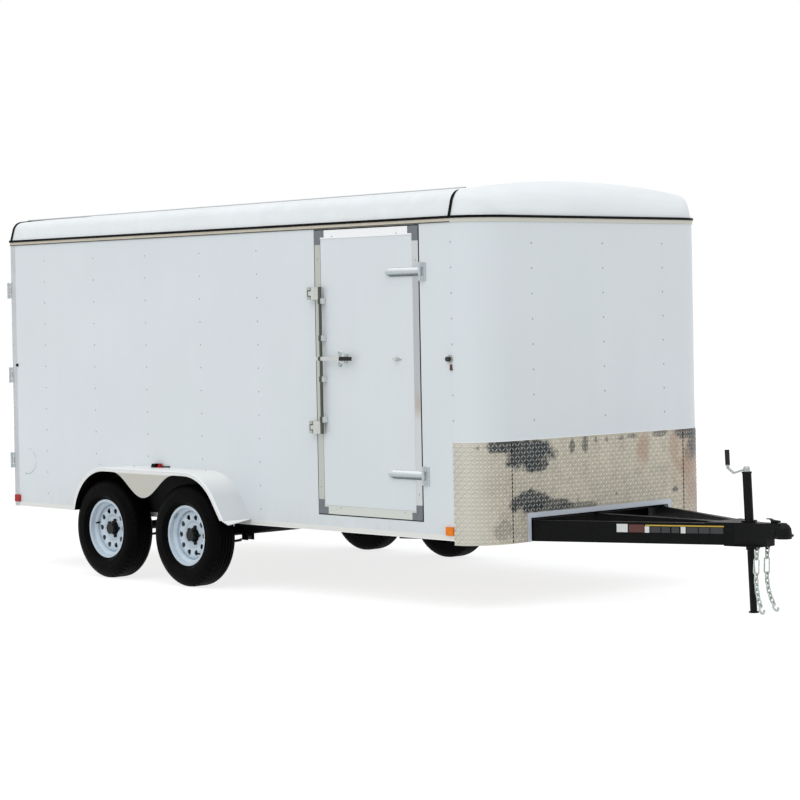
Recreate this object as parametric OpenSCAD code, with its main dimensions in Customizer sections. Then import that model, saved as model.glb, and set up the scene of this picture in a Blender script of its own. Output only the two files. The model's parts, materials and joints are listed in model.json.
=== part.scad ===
// Enclosed cargo trailer: box body on a tandem axle frame, with an A-frame tongue, side door and rear doors.
// Millimetres. X points forward, Y to the left, Z up. The origin is on the ground, midway between the
// rearmost and the foremost point. Places along the trailer are measured from the rear wall.

/* [Body] */
// Length of the box from the rear wall to the front wall
body_l = 4877; // [3900:1:6100]
// Width of the box over the side walls
body_w = 2134; // [1900:1:2300]
// Thickness of the walls and doors
wall_t = 38; // [25:1:50]
// Height of the walls' lower edge above the ground
wall_z0 = 423; // [380:1:460]
// Height where the walls end and the roof begins
wall_z1 = 2365; // [2250:1:2600]
// How far the front corners reach back along the sides
corner_x = 205; // [120:1:260]
// How far the front corners reach in across the front
corner_y = 290; // [150:1:400]

/* [Roof] */
// Thickness of the roof
roof_t = 30; // [20:1:40]
// Height of the roof's crown over the walls, at the rear
crown_h = 201; // [160:1:240]
// How much higher the crown is at the front cap
crown_rise = 26; // [0:1:40]
// Radius of the roof's crown
roof_r = 9000; // [7000:10:12000]
// Radius of the roof's side bends
bend_r = 80; // [60:1:120]
// Lean of the roof's sides, in degrees from upright
roof_lean = 16; // [5:1:30]
// How far the front cap's crown stands over the roof
cap_rise = 14; // [8:1:40]
// Radius of the front cap's crown
cap_r = 7300; // [6000:10:9000]
// Width of the black seal round the roof
seal_h = 15; // [12:1:30]
// How far the seal stands out
seal_out = 12; // [6:1:16]
// Height of the trim under the seal
trim_h = 25; // [15:1:35]
// Height of the trim along the walls' lower edge
foot_trim_h = 32; // [20:1:50]

/* [Frame] */
// Height of the main rails under the floor
rail_h = 102; // [80:1:104]
// Width of the main rails
rail_w = 51; // [40:1:76]
// Height of the tongue's beams
beam_h = 127; // [105:1:150]
// Height of the tongue's lower face above the ground
rail_z = 400; // [390:1:402]
// Height of a floor crossmember
cross_h = 76; // [50:1:100]
// Width of a floor crossmember
cross_w = 51; // [40:1:76]
// Distance between crossmembers
cross_pitch = 610; // [400:1:800]
// Thickness of the floor
floor_t = 19; // [15:1:28]

/* [Tongue] */
// How far the coupler's tip stands in front of the front wall
tongue_l = 1491; // [1300:1:1700]
// Half width of the tongue at the front wall
tongue_y = 600; // [560:1:640]
// Distance from the coupler's tip back to the ball's centre
ball_x = 60; // [50:1:70]
// Radius of the ball socket
socket_r = 26; // [24:0.1:30]
// Height of the ball socket's roof
socket_z = 500; // [480:1:515]
// Radius of the jack's outer tube
jack_r = 27; // [24:0.5:32]
// Radius of the jack's leg
leg_r = 21; // [16:0.5:22]
// Height of the jack's outer tube's top
jack_z1 = 819; // [700:1:900]
// Distance from the coupler's tip back to the jack
jack_x = 312; // [290:1:330]
// Rearward lean of the jack, in degrees
jack_lean = 2.4; // [0:0.1:4]

/* [Running gear] */
// Place of the tandem's middle, as a share of the box's length from the rear wall
tandem_share = 0.3793; // [0.34:0.0001:0.42]
// Distance between the two axles
axle_pitch = 896; // [860:1:960]
// Clear space between a side wall and a tyre
wheel_gap = 22.5; // [20:0.5:60]
// Radius of a tyre
tyre_r = 341; // [330:1:350]
// Width of a tyre
tyre_w = 205; // [185:1:210]
// Radius of a rim where the tyre's bead sits
rim_r = 190.5; // [180:0.5:195]
// Width of a rim over its flanges
rim_w = 140; // [125:1:150]
// Number of hand holes in a rim
hand_holes = 10; // [5:1:12]
// Number of wheel nuts
nuts = 5; // [4:1:6]
// Diameter of the circle of wheel nuts
nut_circle = 114.3; // [110:0.1:120]
// Radius of an axle tube
axle_r = 30; // [25:1:38]
// Distance of a spring's eyes from the axle
spring_x = 330; // [310:1:340]
// Width of a leaf spring
spring_w = 45; // [40:1:60]

/* [Fenders] */
// Radius of a fender's ends
fender_r = 378; // [370:1:395]
// Height of the middle of a fender's ends
fender_z = 388; // [375:1:400]
// How far the fenders sit forward of the wheels
fender_shift = 28; // [0:1:35]
// Thickness of a fender's sheet
fender_t = 4; // [2:0.5:6]
// Width of a fender's front band
band_w = 25; // [15:1:35]
// How far the skirt between the wheels hangs below the band
skirt_h = 165; // [100:1:200]
// Clear space between a tyre and the fender's side
fender_gap = 5.5; // [5:0.5:15]

/* [Side door] */
// Distance from the front wall to the hinge side of the side door
door_front = 487; // [460:1:800]
// Width of the side door
door_w = 962; // [700:1:1000]
// Height of the side door's lower edge
door_z0 = 532; // [500:1:600]
// Distance from the walls' upper edge down to the side door
door_top = 33; // [33:1:200]
// How much thinner a door is than the wall
door_thin = 6; // [5:1:12]
// Clear space round a door
door_gap = 7; // [6.5:0.5:10]
// Width of the metal edge round a door
edge_w = 55; // [30:1:70]
// How far the metal edge stands over the door's skin
edge_out = 2.5; // [1:0.5:4]

/* [Hinges and locks] */
// Distance of a hinge's axis from the skin
hinge_out = 20; // [18:1:26]
// Distance of a side door hinge's axis from the door's edge
hinge_x = 28; // [24:1:34]
// Radius of a hinge's barrel
barrel_r = 9; // [8:0.5:11]
// Radius of a hinge's pin
pin_r = 5; // [4:0.5:6]
// Length of a strap from the axis
strap_l = 318; // [200:1:400]
// Height of a strap
strap_h = 52; // [30:1:60]
// Thickness of a strap
strap_t = 5; // [3:0.5:8]
// Radius of a lock bar
bar_r = 10; // [7:0.5:13]
// Distance of a lock bar's axis from the skin
bar_out = 26; // [22:1:32]

/* [Rear doors] */
// Width of the rear corner posts
post_w = 60; // [45:1:80]
// Height of the rear doors' lower edge
rear_z0 = 530; // [520:1:600]
// Distance from the walls' upper edge down to the rear doors
rear_top = 119; // [90:1:250]
// Distance of the rear hinges' axes outside the side walls
rear_hinge_y = 12; // [10:1:16]

/* [Hidden] */
$fn = 48;
eps = 0.5;

hw = body_w / 2;
grip_out = 6;
rear_reach = edge_out + bar_out + bar_r + grip_out;
tip_x = body_l + tongue_l;
origin_x = (tip_x - rear_reach) / 2;
roof_z = wall_z1 + crown_h;
cap_z = roof_z + crown_rise + cap_rise;
rail_z1 = rail_z + beam_h;
side_rail_z = rail_z1 - rail_h;
rail_y = hw - wall_t - rail_w;
floor_z1 = rail_z1 + floor_t;
xc = body_l - corner_x;
yc = hw - corner_y;
tandem_x = body_l * tandem_share;
track_y = hw + wheel_gap + tyre_w / 2;
ax_x = [tandem_x - axle_pitch / 2, tandem_x + axle_pitch / 2];
axle_z = tyre_r;
bx = tip_x - ball_x;
jx = tip_x - jack_x;
plate_t = 6;
skin_t = 3;
guard_z0 = rail_z - 2;
guard_z1 = 1017;
notch_z = 549;
notch_y = tongue_y + 36;
door_x1 = body_l - door_front;
door_x0 = door_x1 - door_w;
door_z1 = wall_z1 - door_top;
rear_z1 = wall_z1 - rear_top;
hinge_ax = door_x1 + hinge_x;
side_hinge_z = [door_z0 + 274, door_z1 - 282];
rear_hinge_z = [rear_z0 + 230, (rear_z0 + rear_z1) / 2, rear_z1 - 236];
rear_ay = hw + rear_hinge_y;
rear_door_y1 = hw - post_w - door_gap;
rear_door_y0 = 5;
lamp_z = 481;
door_t = wall_t - door_thin;
fender_y1 = track_y + tyre_w / 2 + fender_gap + fender_t;

// Points of an elliptic arc about c from angle a0 to a1 in n steps
function arc(c, rx, ry, a0, a1, n) = [for (i = [0:n]) let (a = a0 + (a1 - a0) * i / n)
    [c[0] + rx * cos(a), c[1] + ry * sin(a)]];

// Outline of the box seen from above, drawn in by i, from x0 to the front
function plan(x0, i) = concat([[x0, -hw + i]], arc([xc, -yc], corner_x - i, corner_y - i, -90, 0, 14),
    arc([xc, yc], corner_x - i, corner_y - i, 0, 90, 14), [[x0, hw - i]]);

// Outline of a crowned roof across the trailer, drawn in by i, as [y, z]. Each side leans in from the
// wall's top, and its bend touches both the side and the crown
function bend_at(top, r) = asin((hw * cos(roof_lean) + (wall_z1 - top + r) * sin(roof_lean) - bend_r)
    / (r - bend_r)) - roof_lean;
function roof_line(top, r, i) = let (a = bend_at(top, r), y = (r - bend_r) * sin(a), foot = hw - i / cos(roof_lean),
    z = top - r + (r - bend_r) * cos(a))
    concat([[-foot, wall_z1]], arc([-y, z], bend_r - i, bend_r - i, 180 - roof_lean, 90 + a, 8),
        arc([0, top - r], r - i, r - i, 90 + a * 0.9, 90 - a * 0.9, 16),
        arc([y, z], bend_r - i, bend_r - i, 90 - a, roof_lean, 8), [[foot, wall_z1]]);

// The same outline at x, where the crown has risen toward the front, as [x, y, z] with its foot at foot_z
function roof_ring(x, i, foot_z) = let (s = 1 + crown_rise / crown_h * x / xc)
    [for (p = roof_line(roof_z, roof_r, i)) [x, p[0], p[1] <= wall_z1 ? foot_z : wall_z1 + (p[1] - wall_z1) * s]];

// Solid through rings that have equally many points
module loft(rings) {
    n = len(rings[0]);
    m = len(rings);
    polyhedron(points = [for (r = rings) for (p = r) p], faces = concat(
        [[for (j = [n - 1:-1:0]) j]],
        [[for (j = [0:n - 1]) (m - 1) * n + j]],
        [for (k = [0:m - 2]) for (j = [0:n - 1]) let (l = (j + 1) % n)
            [k * n + j, k * n + l, (k + 1) * n + l, (k + 1) * n + j]]));
}

module place() translate([-origin_x, 0, 0]) children();
module sides() { children(); mirror([0, 1, 0]) children(); }
module along_y(y0, y1) translate([0, y1, 0]) rotate([90, 0, 0]) linear_extrude(y1 - y0) children();
module along_x(x0, x1) translate([x0, 0, 0]) rotate([90, 0, 90]) linear_extrude(x1 - x0) children();
module box(lo, hi) translate(lo) cube(hi - lo);

// Main frame
module frame_rails() color("#1a1b1d") place()
    sides() box([post_w, rail_y, side_rail_z], [xc, rail_y + rail_w, rail_z1]);

// Half width between the tongue's beams, or the rails where those are nearer
function tongue_half(x) = tongue_y - (x - body_l) * tongue_slope;
tongue_slope = (tongue_y - 62) / (jx - 40 - body_l);
tongue_back = body_l - (rail_y - tongue_y) / tongue_slope;
beam_half = rail_w / 2 * sqrt(1 + tongue_slope * tongue_slope);

module crossmembers() color("#1a1b1d") place() {
    for (x = [post_w + cross_pitch / 2 : cross_pitch : body_l - wall_t - cross_w]) {
        y = min(rail_y, tongue_half(x + cross_w) - beam_half);
        box([x, -y, rail_z1 - cross_h], [x + cross_w, y, rail_z1]);
    }
    front_header();
}
module front_header() box([body_l - wall_t, -notch_y + header_gap, rail_z1],
    [body_l - wall_t + plate_t, notch_y - header_gap, notch_z - header_gap]);
header_gap = 1;

// Two beams that run from the rails to the coupler, and the beam between them
module tongue() color("#141517") place() {
    front = jx - 40;
    sides() translate([0, 0, rail_z]) linear_extrude(beam_h) polygon([
        [tongue_back, rail_y], [tongue_back + 2 * beam_half / tongue_slope, rail_y - 2 * beam_half],
        [front, tongue_half(front) - beam_half], [front, tongue_half(front) + beam_half],
        [tongue_back + eps, rail_y]]);
    box([body_l - wall_t, -rail_w / 2, rail_z], [front, rail_w / 2, rail_z1]);
}

// Gusset on the beams behind the coupler and the plate under them
module tongue_plates() color("#141517") place() {
    y0 = tongue_half(jx - 200) + beam_half;
    y1 = tongue_half(jx - 40) + beam_half;
    translate([0, 0, rail_z1]) linear_extrude(plate_t) polygon([
        [jx - 200, -y0], [jx - 40, -y1], [jx - 40, y1], [jx - 200, y0]]);
    difference() {
        translate([0, 0, rail_z - plate_t]) linear_extrude(plate_t)
            polygon([[jx - 100, -y1 - 25], [jx + 130, -62], [jx + 130, 62], [jx - 100, y1 + 25]]);
        jack_bore();
    }
    for (c = chains) translate([chain_x, c[0], eye_z0]) rotate([0, 90, 0])
        rotate([0, 0, -90]) rotate_extrude(angle = 180) translate([eye_r + 1, 0]) circle(r = link_r);
}

// Coupler: channel between the beams, with a round head over the ball. The head's outline is
// [radius, height], from the crown down to the lip and up inside
head_line = [[0, 540], [14, 540], [34, 527], [46, 508], [50, 476], [ball_x, 472], [ball_x, 462], [50, 457],
    [48, 447], [0, 447]];
coupler_z1 = rail_z1 + plate_t;
module coupler_plan(i, x1) polygon([
    [jx - 40 - i, -tongue_half(jx - 40) - beam_half + i], [jx + 40, -46 + i], [x1, -37 + i],
    [x1, 37 - i], [jx + 40, 46 - i], [jx - 40 - i, tongue_half(jx - 40) + beam_half - i]]);
module coupler() color("#1c1d20") place() difference() {
    union() {
        translate([0, 0, rail_z]) linear_extrude(beam_h + plate_t) coupler_plan(0, jx + 158);
        translate([bx, 0, 0]) rotate_extrude() polygon(head_line);
        box([jx + 150, -37, 447], [bx, 37, 536]);
    }
    translate([bx, 0, 440]) cylinder(r = socket_r, h = socket_z - 440);
    jack_bore();
    translate([0, 0, rail_z - 1]) linear_extrude(beam_h - plate_t) coupler_plan(plate_t + 4, jx + 150);
}

// Latch lever on the coupler's head, with its rear tip curled up
module coupler_latch() color("#2b2d30") place() translate([bx, 0, 0]) along_y(-13, 13) polygon([
    [-24, 540], [-27, 551], [-78, 555], [-92, 562], [-118, 561], [-122, 556], [-94, 555], [-84, 547], [-84, 536],
    [-46, 536], [-46, 540]]);

// The jack leans rearward about the middle of the coupler's top
module at_jack() translate([jx, 0, coupler_z1]) rotate([0, -jack_lean, 0]) children();
module jack_bore() at_jack() translate([0, 0, -200]) cylinder(r = jack_r + 0.3, h = 260);

// Jack on the coupler: outer tube with a flange, the crank on top and the leg below
tube_z0 = 370 - coupler_z1;
tube_z1 = jack_z1 - coupler_z1;
flange_r = jack_r + 20;
module jack_tube() color("#161719") place() at_jack() difference() {
    union() {
        translate([0, 0, tube_z0]) cylinder(r = jack_r, h = tube_z1 - tube_z0);
        translate([0, 0, flange_r * tan(jack_lean) + play]) cylinder(r = flange_r, h = 8);
        translate([0, 0, tube_z1]) cylinder(r = jack_r + 3, h = 10);
    }
    translate([0, 0, tube_z0 - 1]) cylinder(r = leg_r + 0.5, h = tube_z1 - tube_z0 - 10);
}

crank_l = 142;
grip_h = 95;
module jack_crank() color("#c9ccd0") place() at_jack() translate([0, 0, tube_z1 + 10]) {
    cylinder(r = 20, h = 24);
    translate([0, 0, 24]) cylinder(r1 = 20, r2 = 13, h = 8);
    along_y(-7, 7) polygon([[10, 2], [-34, 2], [-100, -14], [-crank_l - 6, 20], [-crank_l - 6, 38],
        [-crank_l + 6, 38], [-crank_l + 6, 26], [-96, -2], [-34, 14], [10, 14]]);
    translate([-crank_l, 0, 36]) cylinder(r = 14.5, h = grip_h);
}

foot_z = 8;
module jack_leg() color("#9a9ea3") place() {
    difference() {
        at_jack() translate([0, 0, 4 - coupler_z1]) cylinder(r = leg_r, h = 555);
        translate([jx, 0, -50]) cylinder(r = 90, h = 50 + foot_z - 2);
    }
    translate([jx + coupler_z1 * tan(jack_lean), 0, 0]) cylinder(r = jack_r + 3, h = foot_z);
}

// Safety chains, each hung from an eye under the plate: links, a long link and links again, then a hook.
// Each row is [y, turn of the first link, links above the long one, links below, first lean, last lean],
// and the leans are degrees forward from straight down
link_r = 5;
link_w = 12;
link_l = 20;
long_l = 50;
long_w = 19;
long_r = 5;
eye_r = 17;
chain_x = jx + 95;
eye_z0 = rail_z - plate_t + 1;
chains = [[-48, 0, 2, 6, -6, 22], [48, 0, 2, 6, -6, 34]];
play = 0.3;
eye_play = 1.2;
function link_path(a, l, w) = [w * cos(a), (abs(sin(a)) > 0.01 ? sign(sin(a)) * (l - w) : 0) + w * sin(a)];
module link(n, m, l, w, r) polyhedron(
    points = [for (i = [0:n - 1]) let (a = 360 * (i + 0.5) / n, p = link_path(a, l, w)) for (j = [0:m - 1])
        let (b = 360 * j / m) [p[0] + r * cos(b) * cos(a), r * sin(b), p[1] + r * cos(b) * sin(a)]],
    faces = [for (i = [0:n - 1]) for (j = [0:m - 1]) let (k = (i + 1) % n, l = (j + 1) % m)
        [i * m + j, k * m + j, k * m + l, i * m + l]]);

// Half length and rod of a chain's item k, its lean, and the middle of its top rod as [x, z]
function is_long(c, k) = k == c[2];
function half_l(c, k) = is_long(c, k) ? long_l : link_l;
function rod(c, k) = is_long(c, k) ? long_r : link_r;
function lean(c, k) = c[4] + (c[5] - c[4]) * pow(k / (c[2] + c[3] + 1), 1.6);
function rod_at(c, k) = k == 0 ? [chain_x, eye_z0 - eye_r - 1 + 2 * link_r + eye_play] :
    let (h = rod_at(c, k - 1), l = 2 * half_l(c, k - 1) - rod(c, k - 1) - rod(c, k) - play)
    [h[0] + l * sin(lean(c, k - 1)), h[1] - l * cos(lean(c, k - 1))];
module hang(c, k) let (h = rod_at(c, k)) translate([h[0], c[0], h[1]]) rotate([0, -lean(c, k), 0])
    rotate([0, 0, c[1] + (k % 2) * 90]) children();

ring_r = 12;
hook_r = 19;
hook_rod = 6.5;
module hook() {
    translate([0, 0, -ring_r]) rotate([90, 0, 0]) rotate_extrude($fn = 16)
        translate([ring_r, 0]) circle(r = link_r, $fn = 8);
    translate([0, 0, -2 * ring_r - hook_r + 2]) rotate([90, 0, 0]) rotate([0, 0, 110])
        rotate_extrude(angle = 250, $fn = 20) translate([hook_r, 0]) circle(r = hook_rod, $fn = 8);
}
module safety_chains() color("#8f958a") place() for (c = chains) {
    last = c[2] + c[3] + 1;
    for (k = [0:last - 1]) hang(c, k) translate([0, 0, -half_l(c, k)])
        link(10, 6, half_l(c, k), is_long(c, k) ? long_w : link_w, rod(c, k));
    hang(c, last) hook();
}

// Floor deck inside the walls
module floor_deck() color("#b08d5b") place()
    translate([0, 0, rail_z1]) linear_extrude(floor_t) polygon(plan(post_w, wall_t));

// Walls
module wall_right() color("#dfe3e8") place() difference() {
    box([post_w, -hw, wall_z0], [xc, -hw + wall_t, wall_z1]);
    box([door_x0 - door_gap, -hw - 1, door_z0 - door_gap],
        [door_x1 + door_gap, -hw + wall_t + 1, door_z1 + door_gap]);
}
module wall_left() color("#dfe3e8") place() box([post_w, hw - wall_t, wall_z0], [xc, hw, wall_z1]);
module wall_front() color("#dfe3e8") place() difference() {
    translate([0, 0, guard_z0]) linear_extrude(wall_z1 - guard_z0) difference() {
        polygon(plan(xc, 0));
        polygon(concat([[xc - 1, -hw + wall_t]], plan(xc, wall_t), [[xc - 1, hw - wall_t]]));
    }
    box([xc + 50, -notch_y, guard_z0 - 1], [body_l + 1, notch_y, notch_z]);
}

// Roof: crowned sheet with bent sides that rises toward the front
module roof() color("#f4f6f8") place() difference() {
    loft([roof_ring(0, 0, wall_z1), roof_ring(xc, 0, wall_z1)]);
    loft([roof_ring(-1, roof_t, wall_z1 - 1), roof_ring(xc + 1, roof_t, wall_z1 - 1)]);
}

// Front cap: each ring is the crowned outline, narrowed and lowered as it nears the front
cap_steps = 9;
cap_side = [for (p = roof_line(cap_z, cap_r, 0)) [p[0] / hw, (p[1] - wall_z1) / (cap_z - wall_z1)]];
function cap_half(u, i) = hw - i - (corner_y - i) * (1 - sqrt(1 - u * u));
module cap_shell(x0, i, foot_z) {
    rise = cap_z - wall_z1 - i;
    us = concat([0], [for (k = [1:cap_steps]) sin(88 * k / cap_steps)]);
    loft([for (k = [0:cap_steps]) [for (p = cap_side) [
        k == 0 ? x0 : xc + us[k] * (corner_x - i),
        p[0] * cap_half(us[k], i),
        p[1] == 0 ? foot_z : wall_z1 + max(1, p[1] * rise * sqrt(1 - us[k] * us[k]))]]]);
}
module roof_cap() color("#f4f6f8") place() difference() {
    cap_shell(xc, 0, wall_z1);
    cap_shell(xc - 1, roof_t, wall_z1 - 1);
}

// Black seal round the roof's foot, and strips over the cap's seam and the rear edge
seam_w = 20;
seam_t = 6;
module roof_strip(x0, x1) difference() {
    loft([roof_ring(x0, -seam_t, wall_z1), roof_ring(x1, -seam_t, wall_z1)]);
    loft([roof_ring(x0 - 1, -play, wall_z1 - 1), roof_ring(x1 + 1, -play, wall_z1 - 1)]);
}
module roof_seal() color("#101113") place() {
    translate([0, 0, wall_z1]) linear_extrude(seal_h) difference() {
        polygon(plan(-2, -seal_out));
        polygon(concat([[-3, -hw - 2 * play]], plan(-3, -2 * play), [[-3, hw + 2 * play]]));
    }
    roof_strip(0, seam_w);
    roof_strip(xc - seam_w, xc);
}

// Trim under the seal, along the walls' lower edge and round the notch over the tongue
notch_trim = 25;
module body_trim() color("#cfc8b8") place() {
    translate([0, 0, wall_z1 - trim_h]) linear_extrude(trim_h) difference() {
        polygon(plan(0, -6));
        polygon(concat([[-1, -hw]], plan(-1, 0), [[-1, hw]]));
    }
    sides() box([post_w, hw, wall_z0], [xc - 8, hw + 3, wall_z0 + foot_trim_h]);
    difference() {
        box([body_l + skin_t, -notch_y - notch_trim, guard_z0],
            [body_l + 2 * skin_t, notch_y + notch_trim, notch_z + notch_trim]);
        box([body_l, -notch_y + 6, guard_z0 - 1], [body_l + 3 * skin_t, notch_y - 6, notch_z - 6]);
    }
}

// Rear frame: sill, corner posts and header up to the roof
module rear_frame() color("#d9dce0") place() difference() {
    along_x(0, post_w) polygon(concat([[-hw, wall_z0], [-hw, wall_z1]], roof_line(roof_z, roof_r, roof_t + 0.8),
        [[hw, wall_z1], [hw, wall_z0]]));
    box([-1, -hw + post_w, rear_z0 - door_gap], [post_w + 1, hw - post_w, rear_z1 + door_gap]);
}

// Tread plate over the front wall's lower part
module stone_guard() color("#b9b3a8") place() difference() {
    translate([0, 0, guard_z0]) linear_extrude(guard_z1 - guard_z0) difference() {
        polygon(plan(xc - 7, -skin_t));
        polygon(concat([[xc - 8, -hw]], plan(xc - 8, 0), [[xc - 8, hw]]));
    }
    box([xc + 50, -notch_y + 6, guard_z0 - 1], [body_l + skin_t + 1, notch_y - 6, notch_z - 6]);
}

// Flat leaf of a hinge in its own frame: the axis is at the origin, the skin at +hinge_out, and the
// leaf lies off the skin by lift
module leaf(l, z0, z1, lift = 0) difference() {
    translate([0, 0, z0]) union() {
        cylinder(r = barrel_r, h = z1 - z0);
        linear_extrude(z1 - z0) polygon([[-l, hinge_out - lift], [-l, hinge_out - lift - strap_t],
            [-barrel_r - strap_t, hinge_out - lift - strap_t], [-barrel_r + 1, 0], [0, 0], [-2, barrel_r - 2],
            [-barrel_r - 2, hinge_out - lift]]);
    }
    translate([0, 0, z0 - 1]) cylinder(r = pin_r + 0.05, h = z1 - z0 + 2);
}
module side_hinges() translate([hinge_ax, -hw - hinge_out, 0])
    for (z = side_hinge_z) translate([0, 0, z]) children();
module rear_hinges() sides() translate([-hinge_out, -rear_ay, 0]) rotate([0, 0, -90])
    for (z = rear_hinge_z) translate([0, 0, z]) children();

// Half-round strap with a pointed nose, in the hinge's frame, ending at the distance l from the axis
strap_out = 15;
nose_l = 42;
strap_x = barrel_r + strap_t;
module strap(l, lift) {
    leaf(strap_x + 40, -strap_h / 2, strap_h / 2, lift);
    intersection() {
        translate([0, hinge_out - lift, 0]) along_x(-l, -strap_x)
            polygon(arc([0, 0], strap_out, strap_h / 2, 90, 270, 10));
        along_y(0, hinge_out) polygon([[-l, -5], [-l, 5], [-l + nose_l, strap_h / 2], [0, strap_h / 2],
            [0, -strap_h / 2], [-l + nose_l, -strap_h / 2]]);
    }
}
fold_l = 37;
hinge_half = strap_h / 2 + 30;
module fixed_leaf(l, m) {
    for (z = [-1, 1]) mirror([m, 0, 0])
        leaf(l, z > 0 ? strap_h / 2 + 2 : -hinge_half, z > 0 ? hinge_half : -strap_h / 2 - 2);
    translate([0, 0, -hinge_half - 2]) cylinder(r = pin_r, h = 2 * hinge_half + 4);
}
module hinge_plates() color("#b4b8bc") place() {
    side_hinges() {
        fixed_leaf(fold_l, 1);
        box([strap_x + 4, hinge_out - strap_t, -hinge_half], [fold_l, hinge_out, hinge_half]);
    }
    rear_hinges() fixed_leaf(rear_hinge_y + post_w - 6, 0);
}

// Lock bar in its own frame: the skin is at y = 0 and the bar stands out to -bar_out
module lock_bar(z0, z1, zh, grip) {
    translate([0, -bar_out, z0]) cylinder(r = bar_r, h = z1 - z0);
    for (z = [z0 + 90, zh - 130, zh + 130, z1 - 90]) difference() {
        translate([0, 0, z - 18]) union() {
            box([-24, -bar_out, 0], [24, 0, 36]);
            translate([0, -bar_out, 0]) cylinder(r = bar_r + 5, h = 36);
        }
        translate([0, -bar_out, z - 19]) cylinder(r = bar_r - eps, h = 38);
    }
    box([-30, -bar_out - bar_r - grip_out, zh - 12], [grip, -bar_out - bar_r + 2, zh + 12]);
    box([grip - 100, -bar_out - bar_r + 2, zh - 30], [grip - 70, edge_out, zh + 30]);
}
module cam(h) {
    box([0, -bar_out - 6, -h], [keeper_x - 4, -edge_out, h]);
    box([0, -bar_out - 6, -14], [keeper_x + keeper_w - 8, -bar_out + 6, 14]);
}
module keeper(h) difference() {
    box([keeper_x, -bar_out - 12, -h], [keeper_x + keeper_w, 0, h]);
    box([keeper_x - 1, -bar_out - 30, -20], [keeper_x + keeper_w - 3, -8, 20]);
}
bar_in = 75;
keeper_x = bar_in + door_gap + 4;
keeper_w = 30;
cam_half = 40;

side_bar_x = door_x0 + bar_in;
side_bar_z = [door_z0 + 549, door_z1 - 399];
lock_z = door_z0 + 986;
module side_bar() translate([side_bar_x, -hw - edge_out, 0]) children();
rear_bar_y = rear_door_y0 + 27;
rear_bar_z = [rear_z0 + bar_in, rear_z1 - bar_in];
rear_cam = 16;
rear_keeper = 28;
catch_x = 232;
module rear_bar() translate([-edge_out, -rear_bar_y, 0]) rotate([0, 0, -90]) children();
module keepers() color("#b4b8bc") place() {
    side_bar() for (z = side_bar_z) translate([0, edge_out, z]) mirror([1, 0, 0]) keeper(cam_half);
    sides() rear_bar() {
        translate([0, edge_out, rear_bar_z[0]]) rotate([0, 90, 0]) keeper(rear_keeper);
        translate([0, edge_out, rear_bar_z[1]]) rotate([0, -90, 0]) keeper(rear_keeper);
    }
    translate([hinge_ax + catch_x, -hw, lock_z]) rotate([90, 0, 0]) {
        cylinder(r = 26, h = 4);
        cylinder(r = 15, h = 28);
    }
}

// Side door: panel, metal edge, straps and lock
module side_door() color("#e6e9ed") place()
    box([door_x0 + 3, -hw, door_z0 + 3], [door_x1 - 3, -hw + door_t, door_z1 - 3]);
module door_edge(x0, x1, z0, z1, t) difference() {
    box([x0, -edge_out, z0], [x1, t, z1]);
    box([x0 + edge_w, -edge_out - 1, z0 + edge_w], [x1 - edge_w, t + 1, z1 - edge_w]);
    box([x0 + 3, 0, z0 + 3], [x1 - 3, t + 1, z1 - 3]);
}
module side_door_edge() color("#a9adb2") place()
    translate([0, -hw, 0]) door_edge(door_x0, door_x1, door_z0, door_z1, door_t);
module side_door_straps() color("#b4b8bc") place() side_hinges() strap(strap_l, edge_out);
module side_door_lock() color("#b4b8bc") place() {
    side_bar() {
        lock_bar(side_bar_z[0] - cam_half, side_bar_z[1] + cam_half, lock_z, 300);
        for (z = side_bar_z) translate([0, 0, z]) mirror([1, 0, 0]) cam(cam_half);
    }
    translate([hinge_ax - catch_x, -hw, lock_z]) rotate([90, 0, 0]) cylinder(r = 12, h = 25);
}

// Rear doors, hinged at the corners
module rear_panel() box([0, -rear_door_y1 + 3, rear_z0 + 3], [door_t, -rear_door_y0 - 3, rear_z1 - 3]);
module rear_edge() rotate([0, 0, -90]) door_edge(rear_door_y0, rear_door_y1, rear_z0, rear_z1, door_t);
module rear_locks() {
    rear_bar() {
        lock_bar(rear_bar_z[0], rear_bar_z[1], lock_z - 250, 330);
        translate([0, 0, rear_bar_z[0]]) rotate([0, 90, 0]) cam(rear_cam);
        translate([0, 0, rear_bar_z[1]]) rotate([0, -90, 0]) cam(rear_cam);
    }
    translate([-hinge_out, -rear_ay, 0]) rotate([0, 0, -90])
        for (z = rear_hinge_z) translate([0, 0, z]) strap(strap_l + post_w, edge_out);
}
module rear_door_right() color("#e6e9ed") place() rear_panel();
module rear_door_left() color("#e6e9ed") place() mirror([0, 1, 0]) rear_panel();
module rear_edge_right() color("#a9adb2") place() rear_edge();
module rear_edge_left() color("#a9adb2") place() mirror([0, 1, 0]) rear_edge();
module rear_locks_right() color("#b4b8bc") place() rear_locks();
module rear_locks_left() color("#b4b8bc") place() mirror([0, 1, 0]) rear_locks();

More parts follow.
